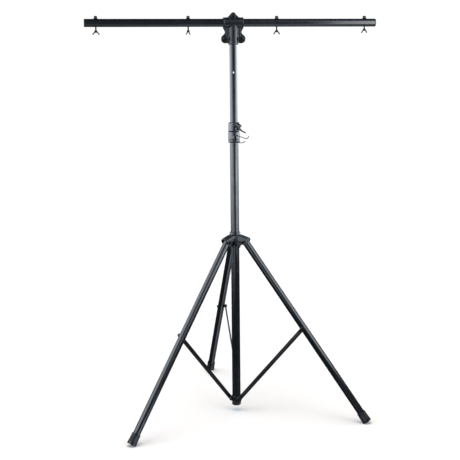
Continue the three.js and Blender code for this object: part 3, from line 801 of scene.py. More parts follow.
def bore(o, holes, frame_matrix, radii):
    """Cuts round holes, then sets the tube's normals to its true curvature.
    holes: (point, direction, radius, length) in the tube's own frame, where
    the tube runs along Z; radii: its outer and inner radius, not used."""
    tools = []
    for p, d, r, length in holes:
        me = bpy.data.meshes.new("tool")
        bm = bmesh.new()
        bmesh.ops.create_cone(bm, cap_ends=True, segments=40, radius1=r / 1000, radius2=r / 1000,
                              depth=length / 1000)
        bm.to_mesh(me)
        bm.free()
        t = bpy.data.objects.new("tool", me)
        scene.collection.objects.link(t)
        quat = Vector(d).to_track_quat("Z", "Y").to_matrix().to_4x4()
        m = frame_matrix.copy()
        m.translation = (m.translation - Vector((0, 0, DATUM))) / 1000
        t.matrix_world = m @ Matrix.Translation(Vector(p) / 1000) @ quat
        mod = o.modifiers.new("cut", "BOOLEAN")
        mod.operation, mod.solver, mod.object = "DIFFERENCE", "EXACT", t
        tools.append(t)
    bpy.context.view_layer.update()
    dg = bpy.context.evaluated_depsgraph_get()
    new = bpy.data.meshes.new_from_object(o.evaluated_get(dg))
    o.modifiers.clear()
    old = o.data
    o.data = new
    new.name = old.name
    bpy.data.meshes.remove(old)
    for t in tools:
        bpy.data.objects.remove(t)
    new.shade_smooth()
    m = frame_matrix.copy()
    m.translation = (m.translation - Vector((0, 0, DATUM))) / 1000
    inv = m.inverted()
    rot = m.to_3x3()
    normals = [None] * len(new.loops)
    for poly in new.polygons:
        pn = inv.to_3x3() @ poly.normal
        for li in poly.loop_indices:
            p = inv @ new.vertices[new.loops[li].vertex_index].co
            rr = Vector((p.x, p.y, 0))
            n = pn
            if rr.length > 1e-6:
                rr.normalize()
                if abs(pn.dot(rr)) > 0.93:
                    n = rr if pn.dot(rr) > 0 else -rr
            normals[li] = (rot @ n).normalized()
    new.normals_split_custom_set(normals)


# column -----------------------------------------------------------------
o = piece("column_tube_v", tube(COLUMN_R, WALL, *COLUMN_Z, cuts=(PIN_Z,)), "stand_column",
          "column_tube", "column")
bore(o, [((0, -20, PIN_Z), (0, 1, 0), 4.8, 20)], Matrix.Identity(4), (COLUMN_R, COLUMN_R - WALL))

cap_profile = [
    (0, 20), (12.9, 20, 0.3), (13.6, 20.4, 0.3), (17.4, 21.7, 1.2), (19.5, 25.6, 1.6), (19.6, 30.4, 0.3),
    (19.0, 30.9, 0.3), (19.0, 31.5, 0.3), (19.6, 32.0, 0.3), (19.6, 37.3, 0.6), (18.9, 38, 0.4), (18.3, 38, 0.2),
    (18.3, 27.15, 0.1), (16.2, 27.15, 0.1), (16.2, 48.6, 0.6), (15.5, 49.5, 0.5), (13.4, 49.5, 0.5), (13.4, 26, 0.6), (0, 26),
]
piece("column_end_cap_v", lathe(cap_profile, 72), "stand_column", "column_end_cap", "plastic")


def bracket(x, y, z):
    r = np.hypot(x, y)
    d = both(np.maximum(r - 19.9, 18.3 - r), between(z, 38.6, 63), 0.5)
    for az in LEG_AZ.values():
        a, t = spin(x, y, az)
        b = both(both(between(a, 8.2, 25), between(z, 40.5, 61), 1.6), between(t, -18.4, -8.2), 1.2)
        c = both(np.hypot(a - BASE_R, z - BASE_Z) - 10.2, between(t, -18.4, -8.2), 1.2)
        d = union(d, union(b, c, 1.0), 1.6)
    d = less(d, np.maximum(r - 18.3, -1000 - z), 0.3)
    for az in LEG_AZ.values():
        a, t = spin(x, y, az)
        d = less(d, np.maximum(np.hypot(a - BASE_R, z - BASE_Z) - 3.3, t + 12.4), 0.3)
    # two shallow grooves round the band
    for zg in (40.6, 61.0):
        d = less(d, np.hypot(r - 20.2, z - zg) - 0.7, 0.2)
    return d


piece("strut_bracket_v", nets(bracket, (-33, -33, 38.6), (33, 33, 63), 0.75), "stand_column",
      "strut_bracket", "pressed", sharp=0)

# tripod -----------------------------------------------------------------
hex_pivot = hex_nut(12.6, 0, 6.0, 3.6)
sx, sz = PIVOT_R + STRUT_ON_LEG * math.sin(THETA), PIVOT_Z - STRUT_ON_LEG * math.cos(THETA)
strut_length = math.hypot(sx - BASE_R, sz - BASE_Z)
strut_lean = math.degrees(math.atan2(sx - BASE_R, sz - BASE_Z))


def circle(cx, cz, r, n):
    return [(cx + r * math.cos(2 * math.pi * i / n), cz + r * math.sin(2 * math.pi * i / n)) for i in range(n)]


hw = STRUT_W / 2
strut_shape = outline([("A", 0, 0, hw, math.pi, 2 * math.pi), ("A", 0, strut_length, hw, 0, math.pi)], 28)
strut_mesh = slab(strut_shape, -STRUT_T / 2, STRUT_T / 2, 0.7,
                  holes=(circle(0, 0, 3.3, 28), circle(0, strut_length, 3.3, 28)),
                  bead=(26.0, strut_length - 26.0, 3.1, 0.95))

foot_e = LEG_LENGTH


def foot(x, y, z):
    px, pz = x - PIVOT_R, z - PIVOT_Z
    s = px * math.sin(THETA) - pz * math.cos(THETA)
    u = px * math.cos(THETA) + pz * math.sin(THETA)
    r = np.hypot(u, y)
    # outside: a slight taper, with a collar at the mouth and rounded ends
    taper = 17.6 + (s - (foot_e - 42)) * 0.042
    d = both(r - taper, between(s, foot_e - 42, foot_e + 4), 1.5)
    lip = both(r - 18.6, between(s, foot_e - 42, foot_e - 37.6), 1.1)
    d = union(d, lip, 0.8)
    for i in range(5):
        d = less(d, np.hypot(r - (taper + 0.5), s - (foot_e - 30.5 + 5.2 * i)) - 1.25, 0.5)
    d = less(d, both(r - 15.3, between(s, foot_e - 60, foot_e - 2.2), 0.3), 0.5)
    # flat sole with grooves across it
    d = both(d, FLOOR_Z - z, 1.0)
    out = x - (PIVOT_R + foot_e * math.sin(THETA))
    for i in range(-2, 3):
        d = less(d, np.hypot(out - 6.0 * i - 1.0, z - FLOOR_Z) - 1.15, 0.35)
    return d


foot_c = (PIVOT_R + (foot_e - 19) * math.sin(THETA), PIVOT_Z - (foot_e - 19) * math.cos(THETA))
foot_mesh = nets(foot, (foot_c[0] - 33, -19.8, FLOOR_Z), (foot_c[0] + 33, 19.8, foot_c[1] + 30), 0.85)

leg_plug = lathe([(0, -2.2), (12.7, -2.2, 0.4), (12.7, 1.0, 0.2), (14.6, 1.0, 0.2), (14.6, 2.3, 0.5), (12.6, 2.9, 0.6),
                  (0, 2.9)], 48)

for name, az in LEG_AZ.items():
    L = leg_frame(az)
    body = f"leg_{name}"
    o = piece(f"leg_tube_{name}_v",
              place(tube(LEG_R, WALL, -LEG_LENGTH + 2.4, LEG_TOP, cuts=(0, -STRUT_ON_LEG)), L),
              body, f"leg_tube_{name}", "leg")
    bore(o, [((0, 0, 0), (0, 1, 0), 6.8, 60), ((0, 0, -STRUT_ON_LEG), (0, 1, 0), 3.3, 60)], L,
         (LEG_R, LEG_R - WALL))
    piece(f"leg_foot_{name}_v", place(foot_mesh, R(az, "Z")), body, f"leg_foot_{name}", "rubber",
          sharp=0)

    # pivot bolt: head towards -Y of the leg's plane, nut on the far side
    P0 = R(az, "Z") @ T(PIVOT_R, 0, PIVOT_Z)
    bolt = place(bolt_pan(4, 6.4, 5.6, 47.0, 9.0, 4.0), P0 @ T(0, -OUT - 0.3, 0) @ R(90, "X"))
    nut = place(hex_pivot, P0 @ T(0, OUT + 0.3, 0) @ R(-90, "X"))
    piece(f"leg_pivot_bolt_{name}_v", join(bolt, nut), "hub", f"leg_pivot_bolt_{name}", "bolt")

    S = R(az, "Z") @ T(BASE_R, -STRUT_SIDE, BASE_Z) @ R(strut_lean, "Y")
    arm = f"strut_{name}_arm"
    piece(f"strut_{name}_v", place(strut_mesh, S), arm, f"strut_{name}", "strut")

    B0 = R(az, "Z") @ T(BASE_R, -STRUT_SIDE - 2.9, BASE_Z) @ R(90, "X")
    ring_w = place(washer(3.25, 6.6, 0, 0.9), B0 @ T(0, 0, -0.95))
    piece(f"strut_base_bolt_{name}_v",
          join(place(bolt_pan(3, 6.2, 5.4, 10.4, 4.0, 3.5), B0), ring_w), "stand_column",
          f"strut_base_bolt_{name}", "bolt")

    at = L @ T(0, 0, -STRUT_ON_LEG)
    head = place(pan_head(5.6, 4.8, 3.2), at @ T(0, LEG_R + 0.3, 0) @ R(-90, "X"))
    rod = place(shank(3, 0, 44.6, 8.5), at @ T(0, -STRUT_SIDE - 8.2, 0) @ R(-90, "X"))
    nut = place(hex_nut(10, 0, 4.0, 2.7), at @ T(0, -STRUT_SIDE - 6.9, 0) @ R(-90, "X"))
    ring_w = place(washer(3.2, 6.2, 0, 0.9), at @ T(0, -STRUT_SIDE - 2.85, 0) @ R(-90, "X"))
    piece(f"strut_leg_bolt_{name}_v", join(head, rod, nut, ring_w), body, f"strut_leg_bolt_{name}",
          "bolt")
    spacer = lathe([(3.3, 15.5), (6.0, 15.5), (6.5, 16.0), (6.0, 17.1), (6.5, 18.1), (6.0, 18.5), (3.3, 18.5)],
                   40, 0.15, 2, closed=True)
    piece(f"strut_spacer_{name}_v", place(spacer, at @ R(90, "X")), body, f"strut_spacer_{name}",
          "rubber")

# hub --------------------------------------------------------------------
pr, pz = PIVOT_R, PIVOT_Z
arm_out = outline([
    ("M", 16, pz + 26), ("L", 26, pz + 25.3), ("L", 58, pz + 14.3), ("Q", 63, pz + 12.2, 62.6, pz + 6),
    ("Q", 61, pz - 4, 54, pz - 9), ("Q", 47, pz - 13.5, 38, pz - 12.5), ("L", 16, pz - 18.5)], 8)
arm_in = [(SLEEVE_R - 1, pz - 60), (90, pz - 60), (90, pz + 1), (58, pz + 12), (26, pz + 23), (SLEEVE_R - 1, pz + 23.4)]


def hub(x, y, z):
    r = np.hypot(x, y)
    d = both(np.maximum(r - SLEEVE_R, BORE_R - r), between(z, *HUB_Z), 0.5)
    for az in LEG_AZ.values():
        a, t = spin(x, y, az)
        side = sd_poly(a, z, arm_out)
        arm = both(side, np.abs(t) - OUT, 2.4)
        arm = less(arm, both(sd_poly(a, z, arm_in), np.abs(t) - IN, 1.2), 0.5)
        # the arm stops short of the column's axis, with a round hole for each bolt
        arm = np.maximum(arm, 0.6 - a)
        arm = less(arm, np.hypot(a - pr, z - pz) - 4.3, 0.3)
        d = union(d, arm, 1.6)
    a, t = spin(x, y, KNOB_AZ)
    d = union(d, both(np.hypot(t, z - KNOB_Z) - 7.5, between(a, 20, 30), 0.8), 1.5)
    d = less(d, np.maximum(np.hypot(t, z - KNOB_Z) - 4.4, 10 - a), 0.4)
    return less(d, r - BORE_R, 0.3)


piece("hub_spider_v", nets(hub, (-64, -64, 720), (64, 64, 772), 0.85), "hub", "hub_spider", "pressed",
      sharp=0)
ferrule = lathe([
    (BORE_R, 771.4, 0.2), (24.1, 771.4, 0.4), (24.2, 773.6, 0.6), (23.0, 775.2, 0.5), (22.6, 779.8, 1.0), (21.9, 782.5, 0.7),
    (21.2, 783.4, 0.4), (BORE_R, 783.4, 0.4)], 72, closed=True)
piece("hub_ferrule_v", ferrule, "hub", "hub_ferrule", "ferrule")


def knob(x, y, z):  # z along its axis, from the column outwards
    c = np.hypot(x, y) - 7.2
    for i in range(3):
        w = rad(30 + 120 * i)
        c = union(c, np.hypot(x - 9.4 * math.cos(w), y - 9.4 * math.sin(w)) - 4.6, 3.4)
    d = both(c, between(z, 40, 50), 1.8)
    d = union(d, both(np.hypot(x, y) - 7.3 + (z - 34) * 0.04, between(z, 34, 51.8), 1.0), 1.2)
    # grip scallops in the outer face of each lobe and a dimple in the centre
    for i in range(3):
        w = rad(30 + 120 * i)
        d = less(d, both(np.hypot(x - 9.8 * math.cos(w), y - 9.8 * math.sin(w)) - 2.6, 49.2 - z, 0.3), 0.5)
    return less(d, np.hypot(np.hypot(x, y), z - 57.5) - 7.2, 0.5)


KF = R(KNOB_AZ, "Z") @ T(0, 0, KNOB_Z) @ Matrix(((0, 0, 1, 0), (1, 0, 0, 0), (0, 1, 0, 0), (0, 0, 0, 1)))
knob_mesh = place(nets(knob, (-15, -15, 34), (15, 15, 52), 0.5), KF)
piece("hub_knob_grip_v", knob_mesh, "hub_knob", "hub_lock_knob", "plastic", sharp=0)
stud = place(shank(4, 20.4, 36, 34), KF)
piece("hub_knob_stud_v", stud, "hub_knob", "hub_lock_knob", "bolt")

# mast -------------------------------------------------------------------
o = piece("mast_tube_v", tube(MAST_R, WALL, *MAST_Z, cuts=(*PIN_HOLES_Z, RIVET_Z - 0.01)), "mast",
          "mast_tube", "mast")
bore(o, [((0, 0, z), (0, 1, 0), 5, 60) for z in PIN_HOLES_Z] + [((0, -20, RIVET_Z), (0, 1, 0), 2.2, 20)],
     Matrix.Identity(4), (MAST_R, MAST_R - WALL))
slider = lathe([
    (0, 334), (13.8, 334, 0.5), (15.2, 334.5, 0.6), (16.2, 336, 0.5), (16.2, 341.7, 0.3), (14.2, 341.7, 0.2),
    (14.2, 369.2, 0.5), (13.4, 370, 0.4), (11.5, 370, 0.3), (11.5, 338, 0.8), (0, 338)], 64)
piece("mast_slider_v", slider, "mast_foot", "mast_slider", "plastic")

# collar -----------------------------------------------------------------
z0, z1 = COLLAR_Z
collar_profile = [(0, z0), (COLLAR_R - 3, z0), (COLLAR_R - 0.8, z0 + 1.6), (COLLAR_R, z0 + 5), (COLLAR_R, z0 + 40),
                  (COLLAR_R - 1, z0 + 48), (COLLAR_R - 1, z1 - 6), (COLLAR_R - 2.2, z1 - 2), (COLLAR_R - 5, z1), (0, z1)]
ear_shape = outline([
    ("M", 12, SPLIT_Z + 4), ("L", 24, SPLIT_Z + 8), ("L", EAR_R, EAR_Z - 7.6),
    ("A", EAR_R, EAR_Z, 7.6, -math.pi / 2.4, math.pi / 2.4), ("L", 25, EAR_Z + 9), ("L", 20, z1 - 3), ("L", 12, z1 - 3)], 14)


def collar(x, y, z):
    r = np.hypot(x, y)
    a, t = spin(x, y, EAR_AZ)
    d = sd_poly(r, z, collar_profile)
    ears = both(sd_poly(a, z, ear_shape), between(t, -11, 7.4), 1.3)
    d = union(d, ears, 2.6)
    boss_r = np.hypot(x, z - PIN_Z)
    boss = both(boss_r - 9 - (y + 18) / 13.5, between(y, -31.5, -10), 0.9)
    d = union(d, boss, 2.4)
    # rings round the lower half
    for zg, depth in ((1164.6, 1.3), (1172.2, 1.3)):
        d = less(d, np.maximum(np.hypot(r - COLLAR_R - 0.2, z - zg) - depth, 9.6 - boss_r), 0.3)
    low = np.maximum(r - 18.3, z - (COLUMN_Z[1] + 0.3))
    d = less(d, np.minimum(low, r - 16.4), 0.35)
    d = less(d, np.maximum(np.maximum(np.abs(t) - 1.1, -a), SPLIT_Z - z), 0.35)
    d = less(d, np.maximum(np.abs(z - SPLIT_Z) - 1.9, -11 - a), 0.35)
    d = less(d, np.hypot(a - EAR_R, z - EAR_Z) - 3.4, 0.3)
    return less(d, np.maximum(boss_r - 4.8, y + 2), 0.4)


piece("clamp_collar_v", nets(collar, (-25, -32, z0), (36, 25, z1), 0.8), "stand_column", "clamp_collar",
      "collar", sharp=0)
# a near-black matt ring in the collar's slit: painted shade, it stands in for the shade inside the slit
piece("collar_slit_shade_v", washer(16.8, 20.8, SPLIT_Z - 2.6, SPLIT_Z + 2.6), "stand_column", None, "slit_shade")

# clamp bolt along the ear frame's Y, head outside the lever
bolt = place(bolt_pan(3, 5.6, 4.2, 34.8, 8.0, 3.2), EAR @ T(EAR_R, -20.6, EAR_Z) @ R(90, "X"))
piece("clamp_bolt_v", bolt, "stand_column", "clamp_bolt", "bolt")
nut = place(hex_nut(10, 0, 4.7, 3.2), EAR @ T(EAR_R, 7.7, EAR_Z) @ R(-90, "X"))
piece("clamp_nut_v", nut, "stand_column", "clamp_nut", "bolt")

lever_shape = outline([
    ("M", 0, 7), ("C", 8, 11, 15, 9, 21, -1), ("C", 26, -10, 33, -14, 41, -17.4), ("L", 57, -22.8),
    ("Q", 60.6, -24.2, 59.4, -26.2), ("Q", 58.2, -27.5, 54.8, -26.4), ("L", 38.6, -21.8),
    ("C", 28.5, -18.4, 21, -14, 15, -7), ("C", 10, -1, 5, -4, 0, -7)], 9)


def lever(x, y, z):
    s = sd_poly(x, z, lever_shape)
    d = both(s, between(y, -19.4, -13.4), 1.3)
    d = less(d, both(s + 1.9, np.maximum(y + 18.5, 14 - x), 0.3), 0.4)
    d = less(d, both(s + 1.9, np.maximum(-14.3 - y, 14 - x), 0.3), 0.4)
    d = union(d, both(np.hypot(x, z) - 7, between(y, -20.2, -12.5), 0.7), 1.0)
    return less(d, np.hypot(x, z) - 3.3, 0.3)


lever_mesh = place(nets(lever, (-7, -20.2, -27.5), (60.2, -12.4, 9.5), 0.55), EAR @ T(EAR_R, 0, EAR_Z))
piece("clamp_lever_v", lever_mesh, "clamp_handle", "clamp_lever", "lever", sharp=0)


def pin(x, y, z):
    r = np.hypot(x, z)
    d = both(r - 4.4, between(y, -36.5, -18.2), 0.4)
    d = union(d, both(r - 3.2, between(y, -19, -16.9), 0.6), 0.2)
    d = union(d, both(r - 6.4, between(y, -36, -32.4), 0.7), 0.5)
    for i in range(3):  # knurl-like rings on the flange's neck
        d = less(d, np.hypot(r - 6.6, y + 35.2 - i * 1.0) - 0.45, 0.15)
    knuckle = both(np.hypot(x, y + 39) - 5.2, np.abs(z) - 7.2, 0.9)
    d = union(d, knuckle, 1.2)
    return less(d, np.hypot(x, y + 39) - 1.9, 0.4)


pin_mesh = place(nets(pin, (-6.5, -44.3, -7.3), (6.5, -16.8, 7.3), 0.5), T(0, 0, PIN_Z))
piece("locking_pin_v", pin_mesh, "lock_pin", "locking_pin", "bolt", sharp=0)

wire_path = [(54.4, -40, 8), (52.4, -40, 1.8), (47, -40, -2.2), (38.5, -40, -0.6), (30, -40, 2.6), (22, -39.5, 5.4),
             (11, -39, 9.2), (4, -39, 11), (0, -39, 7.2), (0, -39, 0), (0, -39, -7.2), (4, -39, -12.4),
             (11, -39, -16.6), (22, -39.5, -19.2), (30, -40, -18.8), (36, -40, -16.2), (40, -40, -13)]
wire = sweep(catmull([(x, y, z + PIN_Z) for x, y, z in wire_path], 10), 1.5, 16)
piece("pin_clip_wire_v", wire, "pin_clip", "pin_clip_wire", "wire", sharp=0)

# T-clamp ----------------------------------------------------------------
half_outline = [
    ("M", 0, 41.4), ("Q", 5.5, 41, 9.5, 35.5), ("Q", 15, 27.5, 24, 21), ("L", 40.6, 20.3), ("L", 40.6, -18),
    ("C", 40.4, -26, 34, -30, 33.4, -36.5), ("C", 33, -42, 38, -46.5, 41, -49),
    ("C", 47.4, -53, 49.6, -59, 49.4, -64.5), ("C", 48.9, -74.5, 42, -81.4, 33, -81.4),
    ("C", 27, -81.4, 24, -79, 19.5, -82.5)]
half_pts = outline(half_outline, 7)
clamp_pts = half_pts + [(-x, z) for x, z in reversed(half_pts[1:])]
clamp_bolts = ((0, 27.4), (33, -64), (-33, -64))


def clamp(x, y, z):
    s = sd_poly(np.abs(x), z, clamp_pts)
    ay = np.abs(y)
    d = both(s, ay - 7.6, 1.6)
    rim = both(np.abs(s + 1.9) - 1.9, ay - 9.0, 1.1)
    d = union(d, rim, 1.0)
    rb, rm = np.hypot(y, z), np.hypot(x, y)
    barrel = both(rb - 20.2, np.abs(x) - 40.6, 1.4)
    for xe in (38.6,):  # thicker lips at the mouths of the barrel
        barrel = union(barrel, both(rb - 20.9, np.abs(np.abs(x) - xe) - 2.0, 0.9), 0.8)
    d = union(d, barrel, 3.2)
    sleeve = both(rm - 19.4, between(z, -87, -10), 1.3)
    sleeve = union(sleeve, both(rm - 19.9, between(z, -87, -82.6), 0.9), 0.8)
    d = union(d, sleeve, 3.2)
    for bx, bz in clamp_bolts:
        d = union(d, both(np.hypot(x - bx, z - bz) - (10.3 if bx else 8.4), ay - 11.5, 0.9), 1.8)
    # gusset ribs from the barrel down to the lugs
    for side in (-1, 1):
        rib = both(np.abs(x - side * 26.5) - 1.5, np.maximum(between(z, -59, -10), ay - 9.4), 0.8)
        d = union(d, rib, 1.6)
    d = less(d, rb - (BAR_R + 0.3), 0.5)
    return less(d, np.maximum(rm - (MAST_R + 0.3), z + 16.6), 0.5)


for side, name in ((-1, "front"), (1, "rear")):
    def shell(x, y, z, side=side):
        return both(clamp(x, y, z), 0.15 - side * y, 0.35)
    lo, hi = ((-50, -12, -87.5), (50, 0, 42)) if side < 0 else ((-50, 0, -87.5), (50, 12, 42))
    lo, hi = (lo[0], -21.5 if side < 0 else 0, lo[2]), (hi[0], 0 if side < 0 else 21.5, hi[2])
    piece(f"t_clamp_{name}_v", place(nets(shell, lo, hi, 0.9), HEAD), "mast", f"t_clamp_{name}", "cast",
          sharp=0)

for (bx, bz), name in zip(clamp_bolts, ("top", "right", "left")):
    b = place(bolt_pan(3, 6, 5, 31.4, 7.0, 3.6), HEAD @ T(bx, -11.8, bz) @ R(90, "X"))
    piece(f"t_clamp_bolt_{name}_v", b, "mast", f"t_clamp_bolt_{name}", "bolt")
    n = place(hex_nut(10, 0, 5.2, 3.2), HEAD @ T(bx, 11.8, bz) @ R(-90, "X") @ R(15 if bx else 0, "Z"))
    piece(f"t_clamp_nut_{name}_v", n, "mast", f"t_clamp_nut_{name}", "bolt")

# lamp bar ---------------------------------------------------------------
ALONG = BAR @ R(90, "Y")  # the tube's Z runs along X, its X points down
o = piece("lamp_bar_v", place(tube(BAR_R, WALL, -BAR_HALF + 3, BAR_HALF - 3, cuts=LAMP_X), ALONG), "mast",
          "lamp_bar", "bar")
bore(o, [((0, 0, x), (1, 0, 0), 3.3, 60) for x in LAMP_X], ALONG, (BAR_R, BAR_R - WALL))
bar_plug = lathe([
    (0, BAR_HALF - 18), (13.2, BAR_HALF - 18, 0.5), (14.2, BAR_HALF - 16.8, 0.4), (14.2, BAR_HALF - 2.7, 0.1),
    (16, BAR_HALF - 2.7, 0.2), (16, BAR_HALF - 1.1, 0.6), (14.9, BAR_HALF, 0.6), (11.4, BAR_HALF - 0.05, 0.2),
    (10.8, BAR_HALF - 0.6, 0.3), (0, BAR_HALF - 0.6)], 72)
for side, name in ((-1, "left"), (1, "right")):
    piece(f"bar_cap_{name}_v", place(bar_plug, BAR @ R(90 * side, "Y")), "mast", f"bar_cap_{name}", "plastic")


def wing(x, y, z):
    s = sd_poly(np.abs(x), z, wing_pts)
    d = both(s, np.abs(y) - 1.65 + 0.02 * np.abs(x), 0.6)
    r = np.hypot(x, y)
    d = union(d, both(r - 4.9 - (z + 7) * 0.12, between(z, -7, 0), 0.5), 1.2)
    return less(d, r - 2.75, 0.35)


wing_half = outline([
    ("M", 0, -0.8), ("L", 4.4, -0.8), ("C", 7, -1.8, 9.2, -6, 12.4, -9.8), ("C", 14.6, -12.2, 15, -15, 13.4, -16),
    ("C", 11.2, -16.8, 9.2, -13.4, 7.4, -10.4), ("L", 5.2, -7), ("L", 0, -5.6)], 7)
wing_pts = wing_half + [(-x, z) for x, z in reversed(wing_half[1:-1])]
wing_mesh = nets(wing, (-15, -6, -16.4), (15, 6, 0), 0.42)

for i, x in enumerate(LAMP_X):
    n = i + 1
    zn = LAMP_NUT_Z[i] - BAR_Z
    A = BAR @ T(x, 0, 0)
    head0 = BAR_R + 0.3
    flange = rings([(0, head0), (8.1, head0), (8.3, head0 + 0.4), (8.2, head0 + 1.9), (7.7, head0 + 3.0),
                    (0, head0 + 3.1)], 56)
    top = place(hex_head(12.6, head0 + 1.2, head0 + 9.6), T())
    crown = rings([(0, head0 + 9.2), (6.0, head0 + 9.2), (5.7, head0 + 10.1), (4.3, head0 + 11.2), (0, head0 + 11.4)], 40)
    stem = shank(3, zn - 7.5, head0 + 0.5, -BAR_R + 4)
    piece(f"lamp_bolt_{n}_v", place(join(flange, top, crown, stem), A), "mast", f"lamp_bolt_{n}", "bolt")
    piece(f"lamp_washer_{n}_v", place(washer(3.3, 5.8, zn + 0.3, zn + 1.5), A), "mast", f"lamp_washer_{n}",
          "bolt")
    piece(f"lamp_wing_nut_{n}_v", place(wing_mesh, A @ T(0, 0, zn) @ R(LAMP_NUT_TURN[i], "Z")),
          f"wing_nut_{n}", f"lamp_wing_nut_{n}", "bolt", sharp=0)

# --------------------------------------------------------------------- stage
floor_mesh = bpy.data.meshes.new("floor")
s = 14.0
floor_mesh.from_pydata([(-s, -s, 0), (s, -s, 0), (s, s, 0), (-s, s, 0)], [], [(0, 1, 2, 3)])
floor = bpy.data.objects.new("floor", floor_mesh)
floor.location.z = (FLOOR_Z - DATUM) / 1000 - 0.0002
scene.collection.objects.link(floor)
fm = bpy.data.materials.new("pale_floor")
fm.use_nodes = True
nt = fm.node_tree
nt.nodes.clear()
out = nt.nodes.new("ShaderNodeOutputMaterial")
dif = nt.nodes.new("ShaderNodeBsdfDiffuse")
dif.inputs["Color"].default_value = (0.6, 0.6, 0.6, 1)
emi = nt.nodes.new("ShaderNodeEmission")
emi.inputs["Color"].default_value = (1, 1, 1, 1)
k = Nodes(nt, None)
dist = nt.nodes.new("ShaderNodeVectorMath")
dist.operation = "DISTANCE"
dist.inputs[1].default_value = (-0.4, -0.6, 0.0)
k.link(nt.nodes.new("ShaderNodeTexCoord").outputs["Object"], dist.inputs[0])
# the overhead light fades outwards, and this glow keeps the floor even
k.link(k.remap(dist.outputs["Value"], 0.3, 5.5, 0.0, 0.29), emi.inputs["Strength"])
mixer = nt.nodes.new("ShaderNodeAddShader")
nt.links.new(dif.outputs[0], mixer.inputs[0])
nt.links.new(emi.outputs[0], mixer.inputs[1])
nt.links.new(mixer.outputs[0], out.inputs["Surface"])
floor_mesh.materials.append(fm)
floor.visible_glossy = False
floor.visible_diffuse = False
floor.visible_transmission = False

lamp = bpy.data.lights.new("overhead", "AREA")
lamp.shape, lamp.size, lamp.size_y = "RECTANGLE", 3.0, 3.0
lamp.energy = 95.0
lamp_o = bpy.data.objects.new("overhead", lamp)
lamp_o.location = (-0.4, -0.6, 3.6)
scene.collection.objects.link(lamp_o)
lamp_o.visible_camera = False
lamp_o.visible_glossy = False

# a very soft warm light for the floor alone: it balances the cool surroundings
# and leaves the contact shadows
sun = bpy.data.lights.new("floor_light", "SUN")
sun.angle = rad(70)
sun.color = (1.0, 0.74, 0.52)
sun.energy = 1.62
sun_o = bpy.data.objects.new("floor_light", sun)
scene.collection.objects.link(sun_o)
sun_o.visible_glossy = False
floor_only = bpy.data.collections.new("floor_light_lights")
floor_only.objects.link(floor)
sun_o.light_linking.receiver_collection = floor_only

# two tall panels close to the right end of the bar, seen in its gloss only
only = bpy.data.collections.new("side_panel_lights")
for o in made:
    if o.name in ("lamp_bar_v", "bar_cap_right_v", "bar_cap_left_v"):
        only.objects.link(o)
for i, (left, energy, front) in enumerate(((0.66, 6.8, -0.95), (0.84, 3.4, -0.93))):
    panel = bpy.data.lights.new(f"side_panel_{i}", "AREA")
    panel.shape, panel.size, panel.size_y = "RECTANGLE", 1.3 - left, 1.3
    panel.color = (0.95, 0.96, 1.0)
    panel.energy = energy
    panel_o = bpy.data.objects.new(f"side_panel_{i}", panel)
    panel_o.matrix_world = Matrix.Translation(((1.3 + left) / 2, front, 1.55)) @ Matrix.Rotation(rad(90), 4, "X")
    scene.collection.objects.link(panel_o)
    panel_o.visible_camera = False
    panel_o.light_linking.receiver_collection = only

# a low dark card stands round the feet and is seen only in the gloss: it keeps
# the lower legs, the feet and the struts dark; its upper edge fades out
card_mesh = bpy.data.meshes.new("low_card")
arc = [rad(-135 + 275 * i / 96) for i in range(97)]
base = (FLOOR_Z - DATUM) / 1000
card_mesh.from_pydata([(1.15 * math.sin(a), -1.15 * math.cos(a), z) for a in arc for z in (base, 0.66)], [],
                      [(2 * i, 2 * i + 2, 2 * i + 3, 2 * i + 1) for i in range(96)])
card = bpy.data.objects.new("low_card", card_mesh)
scene.collection.objects.link(card)
cm = bpy.data.materials.new("low_card")
cm.use_nodes = True
nt = cm.node_tree
nt.nodes.clear()
k = Nodes(nt, None)
out = nt.nodes.new("ShaderNodeOutputMaterial")
sep = nt.nodes.new("ShaderNodeSeparateXYZ")
k.link(nt.nodes.new("ShaderNodeTexCoord").outputs["Object"], sep.inputs[0])
dim = nt.nodes.new("ShaderNodeEmission")
dim.inputs["Color"].default_value = (0.92, 0.96, 1.0, 1)
dim.inputs["Strength"].default_value = 0.09
gone = nt.nodes.new("ShaderNodeBsdfTransparent")
mixer = nt.nodes.new("ShaderNodeMixShader")
# lower at the front left, where the left foot still catches the wall
lower = k.math("MULTIPLY", k.remap(sep.outputs["X"], 0.3, -0.3, 0.0, 0.19), k.remap(sep.outputs["Y"], 0.15, -0.15))
k.link(k.remap(k.math("ADD", sep.outputs["Z"], lower), 0.44, 0.62), mixer.inputs[0])
k.link(dim.outputs[0], mixer.inputs[1])
k.link(gone.outputs[0], mixer.inputs[2])
k.link(mixer.outputs[0], out.inputs["Surface"])
card_mesh.materials.append(cm)
card.visible_camera = False
card.visible_diffuse = False
card.visible_transmission = False
card.visible_shadow = False

# surroundings: white to the eye; to the object, bright walls at eye level that
# fade towards the floor and the ceiling, with a gap behind the camera
world = bpy.data.worlds.new("studio")
scene.world = world
world.use_nodes = True
nt = world.node_tree
nt.nodes.clear()
k = Nodes(nt, None)
out = nt.nodes.new("ShaderNodeOutputWorld")
tc = nt.nodes.new("ShaderNodeTexCoord")
sep = nt.nodes.new("ShaderNodeSeparateXYZ")
nt.links.new(tc.outputs["Generated"], sep.inputs[0])
elev = k.math("MULTIPLY", k.math("ARCSINE", sep.outputs["Z"]), 180 / math.pi)
azim = k.math("MULTIPLY", k.math("ARCTAN2", sep.outputs["X"], k.math("MULTIPLY", sep.outputs["Y"], -1.0)),
              180 / math.pi)


